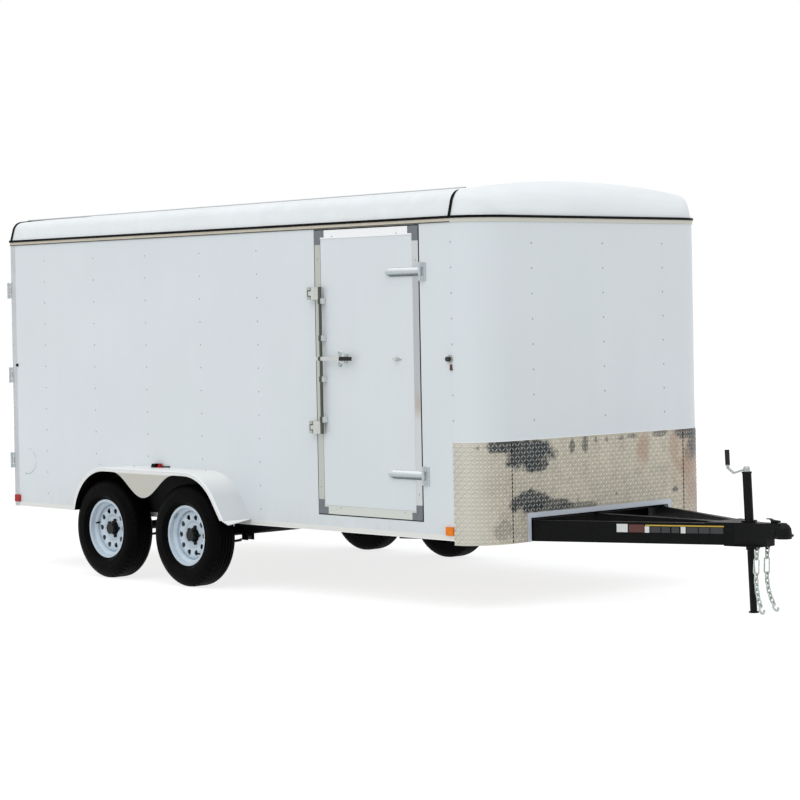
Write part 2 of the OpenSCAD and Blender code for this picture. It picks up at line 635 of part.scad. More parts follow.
// Fender: a sheet over both wheels, with a side band, a skirt between the wheels and a flared front lip
front_turn = 35;
tail_l = 172;
rear_rise = 68;
lip_l = 66;
lip_drop = 20;
front_c = [ax_x[1] + fender_shift, fender_z];
function fender_line(r) = let (a = asin(rear_rise / r), rear_c = [ax_x[0] + fender_shift, fender_z])
    concat(arc(rear_c, r, r, 180 - a, 90, 14), arc(front_c, r, r, 90, front_turn, 9), [front_end(r)]);
function front_end(r) = front_c + r * [cos(front_turn), sin(front_turn)]
    + tail_l * [sin(front_turn), -cos(front_turn)];
skirt_half = 340;
module fender() {
    z_top = fender_z + fender_r;
    mid = tandem_x + fender_shift;
    along_y(hw, fender_y1) difference() {
        polygon(fender_line(fender_r));
        translate([0, -0.01]) polygon(fender_line(fender_r - fender_t));
    }
    along_y(fender_y1 - fender_t, fender_y1) {
        difference() {
            polygon(fender_line(fender_r));
            translate([0, -0.01]) polygon(fender_line(fender_r - band_w));
        }
        polygon(concat([for (i = [0:24]) let (d = skirt_half * (i / 12 - 1))
            [mid + d, z_top - band_w - skirt_h * (1 + cos(180 * d / skirt_half)) / 2]],
            [[mid + skirt_half, z_top - 10], [mid - skirt_half, z_top - 10]]));
    }
    fender_lip();
}
module fender_lip() {
    p = front_end(fender_r);
    q = p + lip_l * [cos(lip_drop), -sin(lip_drop)];
    t = fender_t * [sin(lip_drop), cos(lip_drop)];
    intersection() {
        along_y(hw, fender_y1) polygon([p - [3, 0], q, q - t, p - [3, 0] - t]);
        linear_extrude(p[1] + 10) polygon([[p[0] - 6, hw + 3.5], [p[0] + 6, hw + 3.5], [q[0] + 1, fender_y1],
            [p[0] - 6, fender_y1]]);
    }
}
module fender_left() color("#e9e7e2") place() fender();
module fender_right() color("#e9e7e2") place() mirror([0, 1, 0]) fender();

// Axles with spindles and brake plates
spindle_r = 17;
drum_r = 127;
module axles() color("#2a2b2d") place() for (x = ax_x) translate([x, 0, axle_z]) sides() {
    rotate([-90, 0, 0]) {
        cylinder(r = axle_r, h = track_y - 90);
        cylinder(r = spindle_r, h = track_y + 15);
        translate([0, 0, track_y - 90]) cylinder(r = drum_r + 4, h = 4);
    }
}

// Leaf springs under the axles
spring_z = axle_z - axle_r - 24;
eye_z = axle_z + 2;
module leaf_spring() {
    rise = eye_z - spring_z - 10;
    r = (spring_x * spring_x + rise * rise) / (2 * rise);
    a = asin(spring_x / r);
    for (k = [0:2]) along_y(-spring_w / 2, spring_w / 2) polygon(concat(
        arc([0, spring_z + r], r + 7 * k - 0.3, r + 7 * k - 0.3, 270 - a * (1 - 0.3 * k), 270 + a * (1 - 0.3 * k), 8),
        arc([0, spring_z + r], r + 7 * k + 7, r + 7 * k + 7, 270 + a * (1 - 0.3 * k), 270 - a * (1 - 0.3 * k), 8)));
    for (s = [-1, 1]) translate([s * spring_x, 0, eye_z - 8]) rotate([90, 0, 0])
        cylinder(r = 16, h = spring_w, center = true);
    difference() {
        box([-45, -spring_w / 2, spring_z - 3], [45, spring_w / 2, axle_z - axle_r + 12]);
        translate([0, 0, axle_z]) rotate([90, 0, 0]) cylinder(r = axle_r + 0.1, h = spring_w + 2, center = true);
    }
    box([-50, -spring_w / 2 - 12, spring_z - 32], [50, spring_w / 2 + 12, spring_z - 20]);
}
spring_y = rail_y + rail_w / 2;
module leaf_springs() color("#33353a") place() sides() for (x = ax_x) translate([x, spring_y, 0]) leaf_spring();

// Hangers, and the equaliser between the axles
hanger_y = spring_w / 2 + 0.5;
hanger_z1 = side_rail_z - 4;
module hanger(x, half, z0) {
    for (y = [-hanger_y - 6, hanger_y]) box([x - half, y, z0], [x + half, y + 6, hanger_z1]);
    box([x - half, -hanger_y - 6, hanger_z1 - 6], [x + half, hanger_y + 6, hanger_z1]);
    box([x - half, 4 - rail_w / 2, hanger_z1 - 1], [x + half, rail_w / 2 - 4, side_rail_z]);
}
module spring_hangers() color("#232427") place() sides() translate([0, spring_y, 0]) {
    for (x = [ax_x[0] - spring_x, ax_x[1] + spring_x]) hanger(x, 30, eye_z - 30);
    hanger(tandem_x, 35, eye_z - 10);
    x = ax_x[1] + spring_x;
    along_y(rail_w / 2 - 9, rail_w / 2 - 3) polygon([[x - 117, side_rail_z], [x - 117, eye_z + 4],
        [x - 40, eye_z + 12], [x + 30, eye_z + 12], [x + 440, side_rail_z - 4], [x + 440, side_rail_z]]);
    e = axle_pitch / 2 - spring_x;
    along_y(-spring_w / 2, spring_w / 2) polygon([[tandem_x - e + 18, eye_z - 18], [tandem_x, eye_z + 2],
        [tandem_x + e - 18, eye_z - 18], [tandem_x + e - 18, eye_z + 8], [tandem_x, eye_z + 38], [tandem_x - e + 18, eye_z + 8]]);
}

// Lamps on the walls' lower edge, on the rear sill and on the header
lamp_w = 62;
lamp_h = 51;
lamp_out = 13;
module side_lamp(x) box([x, -hw - lamp_out, lamp_z - lamp_h / 2], [x + lamp_w, -hw, lamp_z + lamp_h / 2]);
module lamps_amber() color("#e08a1e") place() sides() side_lamp(xc - 12 - lamp_w);
module fender_lamp() {
    box([-24, 0, 0], [24, 28, 6]);
    translate([0, 14, 6]) cylinder(r = 13, h = 22);
}
module lamps_red() color("#b3201c") place() {
    sides() {
        side_lamp(12);
        box([-12, hw - 227, lamp_z - 25], [0, hw - 57, lamp_z + 25]);
        translate([tandem_x - 60, hw + 4, fender_z + fender_r]) fender_lamp();
    }
    for (y = [-180, 0, 180]) box([-12, y - 40, rear_z1 + 80], [0, y + 40, wall_z1 - trim_h - 5]);
}

// Wheel parts in their own frame: the axis is Z and the outer side is +Z
shoulder_h = 78;
shoulder_w = 57;
function shoulder(s, a0, a1) = arc([tyre_r - shoulder_h, s * (tyre_w / 2 - shoulder_w)], shoulder_h, shoulder_w, a0, a1, 6);
module tyre() rotate_extrude($fn = 96) polygon(concat(
    [[rim_r + 0.4, -rim_w / 2 + 7], [rim_r + 18, -rim_w / 2 + 2], [rim_r + 34, -tyre_w / 2 + 12]],
    shoulder(-1, -90, 0), shoulder(1, 0, 90),
    [[rim_r + 34, tyre_w / 2 - 12], [rim_r + 18, rim_w / 2 - 2], [rim_r + 0.4, rim_w / 2 - 7]]));
hole_circle = 122;
hole_r = 18.5;
stud_r = 6;
well_r = rim_r - 26;
module rim() difference() {
    rotate_extrude($fn = 96) polygon([[rim_r + 17, rim_w / 2], [rim_r + 17, rim_w / 2 - 2], [rim_r, rim_w / 2 - 6],
        [rim_r, rim_w / 2 - 28], [well_r + 4, rim_w / 2 - 42], [well_r + 4, -10], [rim_r, -34],
        [rim_r, -rim_w / 2 + 6], [rim_r + 17, -rim_w / 2 + 2], [rim_r + 17, -rim_w / 2], [rim_r - 4, -rim_w / 2],
        [rim_r - 4, -36], [well_r, -12], [well_r, -4], [150, 12], [hole_circle, 18], [99, 12], [84, 0], [42, 0],
        [42, 4], [82, 4], [97, 16], [hole_circle, 23], [152, 16], [well_r, 4],
        [well_r, rim_w / 2 - 44], [rim_r - 6, rim_w / 2 - 30], [rim_r - 6, rim_w / 2]]);
    for (i = [0:hand_holes - 1]) rotate(360 * i / hand_holes) translate([hole_circle, 0, -1]) cylinder(r = hole_r, h = 60);
    at_studs() translate([0, 0, -1]) cylinder(r = stud_r + play, h = 6);
}
module at_studs() for (i = [0:nuts - 1]) rotate(360 * i / nuts) translate([nut_circle / 2, 0, 0]) children();
module hub() difference() {
    union() {
        translate([0, 0, -78]) cylinder(r = drum_r, h = 66);
        translate([0, 0, -14]) cylinder(r = 72, h = 14);
        cylinder(r = 38, h = 44);
        at_studs() {
            cylinder(r = stud_r, h = 22);
            translate([0, 0, 4]) cylinder(r = 11, h = 14, $fn = 6);
        }
    }
    translate([0, 0, -79]) cylinder(r = spindle_r + 0.05, h = 100);
    translate([0, 0, -79]) difference() { cylinder(r = drum_r - 8, h = 55); cylinder(r = 40, h = 56); }
}
module at_wheel(i, s) place() translate([ax_x[i], s * track_y, axle_z]) rotate([-90 * s, 0, 0]) children();
module tyre_rear_right() color("#17181a") at_wheel(0, -1) tyre();
module tyre_front_right() color("#17181a") at_wheel(1, -1) tyre();
module tyre_rear_left() color("#17181a") at_wheel(0, 1) tyre();
module tyre_front_left() color("#17181a") at_wheel(1, 1) tyre();
module rim_rear_right() color("#eef0f2") at_wheel(0, -1) rim();
module rim_front_right() color("#eef0f2") at_wheel(1, -1) rim();
module rim_rear_left() color("#eef0f2") at_wheel(0, 1) rim();
module rim_front_left() color("#eef0f2") at_wheel(1, 1) rim();
module hub_rear_right() color("#202124") at_wheel(0, -1) hub();
module hub_front_right() color("#202124") at_wheel(1, -1) hub();
module hub_rear_left() color("#202124") at_wheel(0, 1) hub();
module hub_front_left() color("#202124") at_wheel(1, 1) hub();

frame_rails();
crossmembers();
tongue();
tongue_plates();
coupler();
coupler_latch();
jack_tube();
jack_crank();
jack_leg();
safety_chains();
floor_deck();
wall_right();
wall_left();
wall_front();
roof();
roof_cap();
roof_seal();
body_trim();
rear_frame();
stone_guard();
hinge_plates();
keepers();
side_door();
side_door_edge();
side_door_straps();
side_door_lock();
rear_door_right();
rear_door_left();
rear_edge_right();
rear_edge_left();
rear_locks_right();
rear_locks_left();
fender_right();
fender_left();
axles();
leaf_springs();
spring_hangers();
lamps_amber();
lamps_red();
tyre_rear_right();
tyre_front_right();
tyre_rear_left();
tyre_front_left();
rim_rear_right();
rim_front_right();
rim_rear_left();
rim_front_left();
hub_rear_right();
hub_front_right();
hub_rear_left();
hub_front_left();
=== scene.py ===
"""Looks of the enclosed cargo trailer: camera, light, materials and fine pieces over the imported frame.

Places are in millimetres from the rear wall (x), the middle of the trailer (y) and the ground (z), as in
the part's source; at() turns them into metres in the row frame.
"""
import json
import math

import bmesh
import bpy
from mathutils import Matrix, Vector


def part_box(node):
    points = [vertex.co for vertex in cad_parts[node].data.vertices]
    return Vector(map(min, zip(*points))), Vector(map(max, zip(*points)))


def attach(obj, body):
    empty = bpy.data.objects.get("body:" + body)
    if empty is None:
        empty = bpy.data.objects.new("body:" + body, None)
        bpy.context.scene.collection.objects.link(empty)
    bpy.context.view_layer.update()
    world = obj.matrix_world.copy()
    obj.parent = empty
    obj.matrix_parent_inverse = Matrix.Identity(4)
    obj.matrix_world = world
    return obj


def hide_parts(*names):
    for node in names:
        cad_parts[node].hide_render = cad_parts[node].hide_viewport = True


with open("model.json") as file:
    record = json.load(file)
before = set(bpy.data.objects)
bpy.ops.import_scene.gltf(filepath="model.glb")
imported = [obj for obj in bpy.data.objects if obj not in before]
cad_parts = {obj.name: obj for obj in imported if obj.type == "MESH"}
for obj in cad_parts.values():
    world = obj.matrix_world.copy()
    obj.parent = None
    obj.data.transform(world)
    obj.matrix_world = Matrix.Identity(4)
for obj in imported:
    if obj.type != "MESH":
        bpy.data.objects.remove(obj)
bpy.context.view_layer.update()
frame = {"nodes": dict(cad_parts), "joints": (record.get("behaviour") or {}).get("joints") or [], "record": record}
nodes = frame["nodes"]

MM = 0.001
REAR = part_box("rear_frame")[0].x


def at(x, y, z):
    """A place given in millimetres from the rear wall, as a point of the row frame."""
    return Vector((REAR + x * MM, y * MM, z * MM))


def reach(node, axis):
    """Lowest and highest place of a CAD node along axis 0, 1 or 2, in millimetres."""
    start = REAR if axis == 0 else 0.0
    return [round((corner[axis] - start) / MM, 2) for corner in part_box(node)]


def joint_at(name):
    """The place of a joint, in millimetres."""
    x, y, z = next(j["pos_m"] for j in frame["joints"] if j["name"] == name)
    return round((x - REAR) / MM, 2), round(y / MM, 2), round(z / MM, 2)


# Sizes, read from the frame where a node or a joint has them

HW = reach("wall_left", 1)[1]
BODY_L = reach("wall_front", 0)[1]
XC, YC = reach("wall_left", 0)[1], HW - 290
CORNER_X, CORNER_Y = BODY_L - XC, HW - YC

GUARD_Z0, GUARD_Z1 = reach("stone_guard", 2)
TONGUE_X1 = reach("tongue", 0)[1]
TONGUE_Y0, TONGUE_Y1, BEAM_W = 600, 62, 51
TONGUE_SLOPE = (TONGUE_Y0 - TONGUE_Y1) / (TONGUE_X1 - BODY_L)
BEAM_HALF = BEAM_W / 2 * math.sqrt(1 + TONGUE_SLOPE ** 2)
NOTCH_Y, NOTCH_Z = TONGUE_Y0 + 36, 549

DOOR_X0, DOOR_X1 = reach("side_door_edge", 0)
DOOR_Z0, DOOR_Z1 = reach("side_door_edge", 2)
REAR_Y0, REAR_Y1 = reach("rear_edge_left", 1)
REAR_Z0, REAR_Z1 = reach("rear_edge_left", 2)
EDGE_OUT = -reach("rear_edge_left", 0)[0]
LOCK_Z = 1518

AXLE_X = (joint_at("spin_rear_left")[0], joint_at("spin_front_left")[0])
TRACK_Y, AXLE_Z = joint_at("spin_rear_left")[1:]
TYRE_R, RIM_R = AXLE_Z, 190.5
TYRE_W = 2 * (reach("tyre_rear_left", 1)[1] - TRACK_Y)
RIM_W = 2 * (reach("rim_rear_left", 1)[1] - TRACK_Y)

FENDER_TOP, FENDER_Y = reach("fender_left", 2)[1], reach("fender_left", 1)[1]
FENDER_Z = 388
FENDER_R, FENDER_SHIFT = FENDER_TOP - FENDER_Z, 28
FENDER_RISE = 68
LIP_L, LIP_TURN = 172, 35


# Camera, fitted to the photo

CAMERA_AT = (15313.0, -11369.7, 1834.9)
YAW, PITCH, ROLL = math.radians(47.1275), math.radians(-0.2966), math.radians(-1.0651)
FOCAL_PX, FRAME_PX, SENSOR = 2467.0, 800, 36.0
SHIFT_Y = -0.1
CLIP_END = 200


def make_camera():
    """Camera at the photo's place, with its tilt and its shift."""
    look = Vector((-math.sin(YAW) * math.cos(PITCH), math.cos(YAW) * math.cos(PITCH), math.sin(PITCH)))
    level = Vector((math.cos(YAW), math.sin(YAW), 0))
    over = level.cross(look)
    right = math.cos(ROLL) * level + math.sin(ROLL) * over
    up = math.cos(ROLL) * over - math.sin(ROLL) * level
    data = bpy.data.cameras.new("camera")
    data.sensor_fit = "HORIZONTAL"
    data.sensor_width = SENSOR
    data.lens = FOCAL_PX / FRAME_PX * SENSOR
    data.shift_y = SHIFT_Y
    data.clip_end = CLIP_END
    obj = bpy.data.objects.new("camera", data)
    bpy.context.scene.collection.objects.link(obj)
    turn = Matrix((right, up, -look)).transposed()
    obj.matrix_world = Matrix.Translation(at(*CAMERA_AT)) @ turn.to_4x4()
    bpy.context.scene.camera = obj


# Node helpers


def put(tree, socket, value):
    """Link a socket, or give it a plain value."""
    if isinstance(value, bpy.types.NodeSocket):
        tree.links.new(value, socket)
    else:
        socket.default_value = value


def ranged(tree, value, a, b, c, d):
    """Map a..b to c..d, held at the ends."""
    n = tree.nodes.new("ShaderNodeMapRange")
    put(tree, n.inputs["Value"], value)
    for name, v in zip(("From Min", "From Max", "To Min", "To Max"), (a, b, c, d)):
        n.inputs[name].default_value = v
    return n.outputs["Result"]


def maths(tree, how, a, b):
    """One operation on two values or sockets."""
    n = tree.nodes.new("ShaderNodeMath")
    n.operation = how
    put(tree, n.inputs[0], a)
    put(tree, n.inputs[1], b)
    return n.outputs[0]


def mixed(tree, fac, a, b):
    """Colour a where fac is 0, and b where it is 1."""
    n = tree.nodes.new("ShaderNodeMix")
    n.data_type = "RGBA"
    put(tree, n.inputs["Factor"], fac)
    put(tree, n.inputs[6], (*a, 1) if isinstance(a, tuple) and len(a) == 3 else a)
    put(tree, n.inputs[7], (*b, 1) if isinstance(b, tuple) and len(b) == 3 else b)
    return n.outputs[2]


def linear(r, g, b):
    """An sRGB colour, 0 to 255, as linear values."""
    out = []
    for v in (r, g, b):
        v /= 255
        out.append(v / 12.92 if v <= 0.04045 else ((v + 0.055) / 1.055) ** 2.4)
    return tuple(out)


def tinted(c, k):
    """A colour made darker or brighter."""
    return tuple(min(1.0, v * k) for v in c)


class Paint:
    """A material under construction: colour, roughness and bump are built up layer by layer."""

    def __init__(self, name, colour, rough, metallic=0.0, specular=0.5):
        self.mat = bpy.data.materials.new(name)
        self.mat.use_nodes = True
        self.tree = self.mat.node_tree
        self.shader = self.tree.nodes["Principled BSDF"]
        self.where = self.tree.nodes.new("ShaderNodeTexCoord").outputs["Object"]
        self.colour = (*colour, 1)
        self.rough = rough
        self.height = None
        self.shader.inputs["Metallic"].default_value = metallic
        self.shader.inputs["Specular IOR Level"].default_value = specular

    def noise(self, scale, stretch=(1, 1, 1), detail=4.0):
        """Noise over the piece's own coordinates, 0 to 1."""
        m = self.tree.nodes.new("ShaderNodeMapping")
        self.tree.links.new(self.where, m.inputs["Vector"])
        m.inputs["Scale"].default_value = stretch
        n = self.tree.nodes.new("ShaderNodeTexNoise")
        self.tree.links.new(m.outputs["Vector"], n.inputs["Vector"])
        n.inputs["Scale"].default_value = scale
        n.inputs["Detail"].default_value = detail
        n.inputs["Roughness"].default_value = 0.6
        return n.outputs["Fac"]

    def mottle(self, scale, colour, amount, lo=0.35, hi=0.7, stretch=(1, 1, 1)):
        """Soft spots of another colour."""
        return self.tint(ranged(self.tree, self.noise(scale, stretch), lo, hi, 0.0, amount), colour)

    def tint(self, fac, colour):
        """Another colour where fac is 1."""
        self.colour = mixed(self.tree, fac, self.colour, colour)
        return self

    def vary(self, scale, spread):
        """Roughness that goes up and down by spread."""
        base = self.rough
        self.rough = ranged(self.tree, self.noise(scale), 0.3, 0.7, base - spread, base + spread)
        return self

    def bump(self, scale, depth, stretch=(1, 1, 1)):
        """Small unevenness, with its depth in metres."""
        n = maths(self.tree, "MULTIPLY", self.noise(scale, stretch, 3.0), depth)
        self.height = n if self.height is None else maths(self.tree, "ADD", self.height, n)
        return self

    def axis(self, i):
        """One coordinate of the place, in metres of the row frame."""
        s = self.tree.nodes.new("ShaderNodeSeparateXYZ")
        self.tree.links.new(self.where, s.inputs[0])
        return s.outputs[i]

    def within(self, lo, hi, soft=1.0):
        """1 inside a box given in millimetres, with None for an open side."""
        fac = None
        for i in range(3):
            for limit, fade in ((lo[i], soft * MM), (hi[i], -soft * MM)):
                if limit is None:
                    continue
                edge = at(limit, 0, 0).x if i == 0 else limit * MM
                step = ranged(self.tree, self.axis(i), edge - fade, edge + fade, 0.0, 1.0)
                fac = step if fac is None else self.both(fac, step)
        return fac

    def both(self, a, b):
        """1 where a and b are both 1."""
        return maths(self.tree, "MULTIPLY", a, b)

    def normal(self):
        """The surface's own direction."""
        return self.tree.nodes.new("ShaderNodeTexCoord").outputs["Normal"]

    def facing(self, i, a, b):
        """0 to 1 as one part of the surface's own direction goes from a to b."""
        s = self.tree.nodes.new("ShaderNodeSeparateXYZ")
        self.tree.links.new(self.normal(), s.inputs[0])
        return ranged(self.tree, s.outputs[i], a, b, 0.0, 1.0)

    def facing_in(self, x, z):
        """1 on faces that look toward a line across the trailer, given in millimetres."""
        place = self.tree.nodes.new("ShaderNodeVectorMath")
        place.operation = "SUBTRACT"
        self.tree.links.new(self.where, place.inputs[0])
        place.inputs[1].default_value = at(x, 0, z)
        dot = self.tree.nodes.new("ShaderNodeVectorMath")
        dot.operation = "DOT_PRODUCT"
        self.tree.links.new(place.outputs[0], dot.inputs[0])
        self.tree.links.new(self.normal(), dot.inputs[1])
        return ranged(self.tree, dot.outputs["Value"], -0.02, 0.0, 1.0, 0.0)

    def blob(self, axes, centre, radii, rough, scale, edge, amount):
        """A ragged oval in the plane of two axes, in millimetres: its amount inside, 0 outside."""
        total = None
        for i, c, r in zip(axes, centre, radii):
            c = at(c, 0, 0).x if i == 0 else c * MM
            d = maths(self.tree, "DIVIDE", maths(self.tree, "SUBTRACT", self.axis(i), c), r * MM)
            d = maths(self.tree, "MULTIPLY", d, d)
            total = d if total is None else maths(self.tree, "ADD", total, d)
        noise = maths(self.tree, "MULTIPLY", maths(self.tree, "SUBTRACT", self.noise(scale), 0.5), 4 * rough)
        return ranged(self.tree, maths(self.tree, "ADD", total, noise), 1 - edge, 1 + edge, amount, 0.0)

    def done(self):
        """Link what was built up to the shader, and return the material."""
        put(self.tree, self.shader.inputs["Base Color"], self.colour)
        put(self.tree, self.shader.inputs["Roughness"], self.rough)
        if self.height is not None:
            b = self.tree.nodes.new("ShaderNodeBump")
            b.inputs["Distance"].default_value = 1.0
            self.tree.links.new(self.height, b.inputs["Height"])
            self.tree.links.new(b.outputs["Normal"], self.shader.inputs["Normal"])
        return self.mat


# Light, backdrop and floor

SKY, SKY_COLOUR = 0.80, (0.955, 0.98, 1.0, 1)
SUN, SUN_SPREAD, SUN_TILT = 1.15, math.radians(70), (math.radians(22), math.radians(12), 0)
FLOOR_COLOUR, FLOOR_HALF = (0.72, 0.72, 0.71, 1), 70
FLOOR_SEEN, FLOOR_GLOW = (0.3, 0.3, 0.3, 1), 0.80


def seen_directly(tree):
    """1 for camera, glossy and transmission rays, which see the white background."""
    path = tree.nodes.new("ShaderNodeLightPath")
    both = maths(tree, "MAXIMUM", path.outputs["Is Camera Ray"], path.outputs["Is Glossy Ray"])
    return maths(tree, "MAXIMUM", both, path.outputs["Is Transmission Ray"])


def make_world():
    """Even sky that lights the trailer, white where it is seen."""
    world = bpy.data.worlds.new("sky")
    bpy.context.scene.world = world
    world.use_nodes = True
    tree = world.node_tree
    sky = tree.nodes["Background"]
    sky.inputs["Strength"].default_value = SKY
    sky.inputs["Color"].default_value = SKY_COLOUR
    white = tree.nodes.new("ShaderNodeBackground")
    white.inputs["Color"].default_value = (1, 1, 1, 1)
    white.inputs["Strength"].default_value = 1.0
    mix = tree.nodes.new("ShaderNodeMixShader")
    tree.links.new(seen_directly(tree), mix.inputs[0])
    tree.links.new(sky.outputs[0], mix.inputs[1])
    tree.links.new(white.outputs[0], mix.inputs[2])
    tree.links.new(mix.outputs[0], tree.nodes["World Output"].inputs["Surface"])


def make_floor():
    """White floor that shows soft shadows: it is grey for the light, and nearly white where it is seen."""
    mesh = bpy.data.meshes.new("floor")
    r = FLOOR_HALF
    mesh.from_pydata([(-r, -r, 0), (r, -r, 0), (r, r, 0), (-r, r, 0)], [], [(0, 1, 2, 3)])
    obj = bpy.data.objects.new("floor", mesh)
    bpy.context.scene.collection.objects.link(obj)
    mat = bpy.data.materials.new("floor")
    mat.use_nodes = True
    tree = mat.node_tree
    base = tree.nodes["Principled BSDF"]
    base.inputs["Base Color"].default_value = FLOOR_COLOUR
    base.inputs["Roughness"].default_value = 1.0
    base.inputs["Specular IOR Level"].default_value = 0.0
    pale = tree.nodes.new("ShaderNodeBsdfDiffuse")
    pale.inputs["Color"].default_value = FLOOR_SEEN
    glow = tree.nodes.new("ShaderNodeEmission")
    glow.inputs["Strength"].default_value = FLOOR_GLOW
    both = tree.nodes.new("ShaderNodeAddShader")
    tree.links.new(pale.outputs[0], both.inputs[0])
    tree.links.new(glow.outputs[0], both.inputs[1])
    mix = tree.nodes.new("ShaderNodeMixShader")
    tree.links.new(seen_directly(tree), mix.inputs[0])
    tree.links.new(base.outputs[0], mix.inputs[1])
    tree.links.new(both.outputs[0], mix.inputs[2])
    tree.links.new(mix.outputs[0], tree.nodes["Material Output"].inputs["Surface"])
    mesh.materials.append(mat)


def make_sun():
    """Wide light from above, for the shadow under the trailer."""
    data = bpy.data.lights.new("overhead", "SUN")
    data.energy = SUN
    data.angle = SUN_SPREAD
    obj = bpy.data.objects.new("overhead", data)
    bpy.context.scene.collection.objects.link(obj)
    obj.rotation_euler = SUN_TILT


# Materials: the sheets of the body

WALL = linear(222, 227, 231)
ROOF = linear(231, 235, 237)
BLACK = linear(9, 10, 11)
# Painted shade of the gap round the side door
GAP_SHADE = linear(14, 15, 16)


def wall_paint():
    """White sheet, a little dusty near the bottom, with painted shade in the gap round the side door."""
    p = Paint("skin_white", WALL, 0.36, specular=0.4)
    p.mottle(1.1, tinted(WALL, 0.955), 0.8).mottle(0.35, linear(214, 222, 224), 0.6)
    p.mottle(7.0, tinted(WALL, 0.93), 0.30, stretch=(1, 1, 0.12)).vary(3.0, 0.05)
    low = ranged(p.tree, p.axis(2), 0.40, 0.62, 1.0, 0.0)
    dust = p.both(low, ranged(p.tree, p.noise(9.0, (1, 1, 0.4)), 0.4, 0.7, 0.0, 0.35))
    p.tint(dust, linear(196, 192, 182))
    # Painted shade in the gap round the side door, on the wall just outside its edges
    for x0, x1, z0, z1 in ((DOOR_X1 - 0.6, DOOR_X1 + 10.4, DOOR_Z0 - 9, DOOR_Z1 + 9),
                           (DOOR_X0 - 10.4, DOOR_X0 + 0.6, DOOR_Z0 - 9, DOOR_Z1 + 9),
                           (DOOR_X0 - 9, DOOR_X1 + 9, DOOR_Z0 - 10.4, DOOR_Z0 + 0.6)):
        p.tint(p.within((x0, -HW + 0.8, z0), (x1, -HW + 60, z1), 0.2), GAP_SHADE)
    return p.bump(1.6, 0.0022).bump(14.0, 0.0001).done()


def roof_paint():
    """Brighter white of the roof and its cap."""
    p = Paint("roof_white", ROOF, 0.4, specular=0.4)
    p.mottle(1.4, tinted(ROOF, 0.94), 0.7).mottle(12.0, linear(205, 205, 198), 0.18, stretch=(1, 0.2, 1))
    return p.vary(3.0, 0.06).bump(2.0, 0.002).done()


# The tread plate's part on the right side, with a brighter painted reflection, from corner (x, y) to corner
SIDE_LO, SIDE_HI = (4600, -1100), (4812, -900)
# Places (y, z), radii and strength of the painted reflections on the tread plate: reddish and dark patches of what
# it mirrors

WARM_REFLECTIONS = (((400, 900), (60, 100), 0.5), ((700, 900), (50, 90), 0.35), ((860, 800), (120, 90), 0.45),
                ((930, 620), (90, 80), 0.3), ((1000, 780), (320, 360), 0.35))
DARK_REFLECTIONS = (((-640, 930), (215, 92), 0.95), ((-830, 985), (150, 40), 0.9), ((-600, 860), (120, 40), 0.7),
                ((-520, 960), (70, 44), 0.6), ((-640, 645), (160, 66), 0.9), ((-480, 610), (240, 34), 0.8),
                ((-240, 590), (200, 22), 0.6), ((-255, 960), (26, 44), 0.7), ((-140, 965), (30, 52), 0.7),
                ((-40, 985), (16, 20), 0.6), ((60, 985), (14, 16), 0.6), ((190, 990), (26, 16), 0.5),
                ((300, 995), (50, 14), 0.6), ((560, 1000), (70, 22), 0.6), ((840, 990), (150, 36), 0.75),
                ((940, 930), (100, 100), 0.8), ((860, 860), (70, 60), 0.35), ((700, 632), (34, 18), 0.7),
                ((140, 640), (14, 10), 0.7), ((-860, 480), (60, 60), 0.35))


def plate_paint(name, base, dull, side_reflection, dark_reflection):
    """Bright tread plate, with painted reflections of its surroundings in patches."""
    p = Paint(name, linear(*base), 0.36, metallic=0.25)
    p.mottle(2.2, linear(*dull), 0.45, 0.42, 0.62)
    p.mottle(11, linear(*(c * 0.8 for c in dull)), 0.35, 0.5, 0.75)
    p.mottle(34, linear(226, 220, 206), 0.35, 0.55, 0.7)
    p.tint(p.within((*SIDE_LO, None), (*SIDE_HI, None), 60), linear(*side_reflection))
    for centre, radii, amount in WARM_REFLECTIONS:
        p.tint(p.blob((1, 2), centre, radii, 0.5, 10, 0.6, amount), linear(164, 126, 104))
    for centre, radii, amount in DARK_REFLECTIONS:
        p.tint(p.blob((1, 2), centre, radii, 0.8, 15, 0.35, amount), linear(*dark_reflection))
    return p.vary(5, 0.08).bump(30, 0.0004)


def sheet_paints(m):
    """White sheets and tread plate. The plate's raised pattern is a brighter copy with a painted highlight, and
    painted shade on its underside.
    """
    m["skin_white"] = wall_paint()
    m["roof_white"] = roof_paint()
    p = plate_paint("tread_plate", (188, 181, 165), (148, 142, 129), (202, 199, 188), (20, 26, 32))
    m["tread_plate"] = p.done()
    # Raised pattern: a copy of the plate's paint with a painted highlight, and painted shade on faces that look
    # down
    p = plate_paint("tread_raised_highlight", (232, 226, 210), (210, 204, 188), (222, 219, 208), (150, 158, 160))
    m["tread_raised_highlight"] = p.tint(p.facing(2, -0.02, -0.25), linear(104, 98, 86)).done()


# Materials: frame, tongue and running gear


def frame_paints(m):
    """Black paints of the frame, the coupler and the jack's leg, and the steel of the springs."""
    p = Paint("frame_black", BLACK, 0.42, specular=0.09)
    p.mottle(30, linear(20, 20, 22), 0.5).mottle(7.0, linear(46, 44, 41), 0.15, 0.55, 0.8)
    m["frame_black"] = p.vary(22, 0.08).bump(60, 0.0004).done()

    p = Paint("coupler_black", BLACK, 0.4, specular=0.12)
    p.mottle(40, linear(22, 22, 22), 0.5).mottle(14, linear(60, 54, 46), 0.15, 0.6, 0.8)
    m["coupler_black"] = p.vary(30, 0.1).bump(90, 0.0004).done()

    p = Paint("spring_steel", linear(46, 46, 48), 0.5, metallic=0.6)
    p.mottle(25, linear(84, 70, 56), 0.4)
    m["spring_steel"] = p.vary(20, 0.1).bump(70, 0.0004).done()

    p = Paint("leg_steel", linear(11, 12, 13), 0.4, specular=0.12)
    p.mottle(30, linear(34, 33, 32), 0.3, stretch=(1, 1, 0.3))
    m["leg_steel"] = p.vary(25, 0.1).bump(80, 0.0003).done()


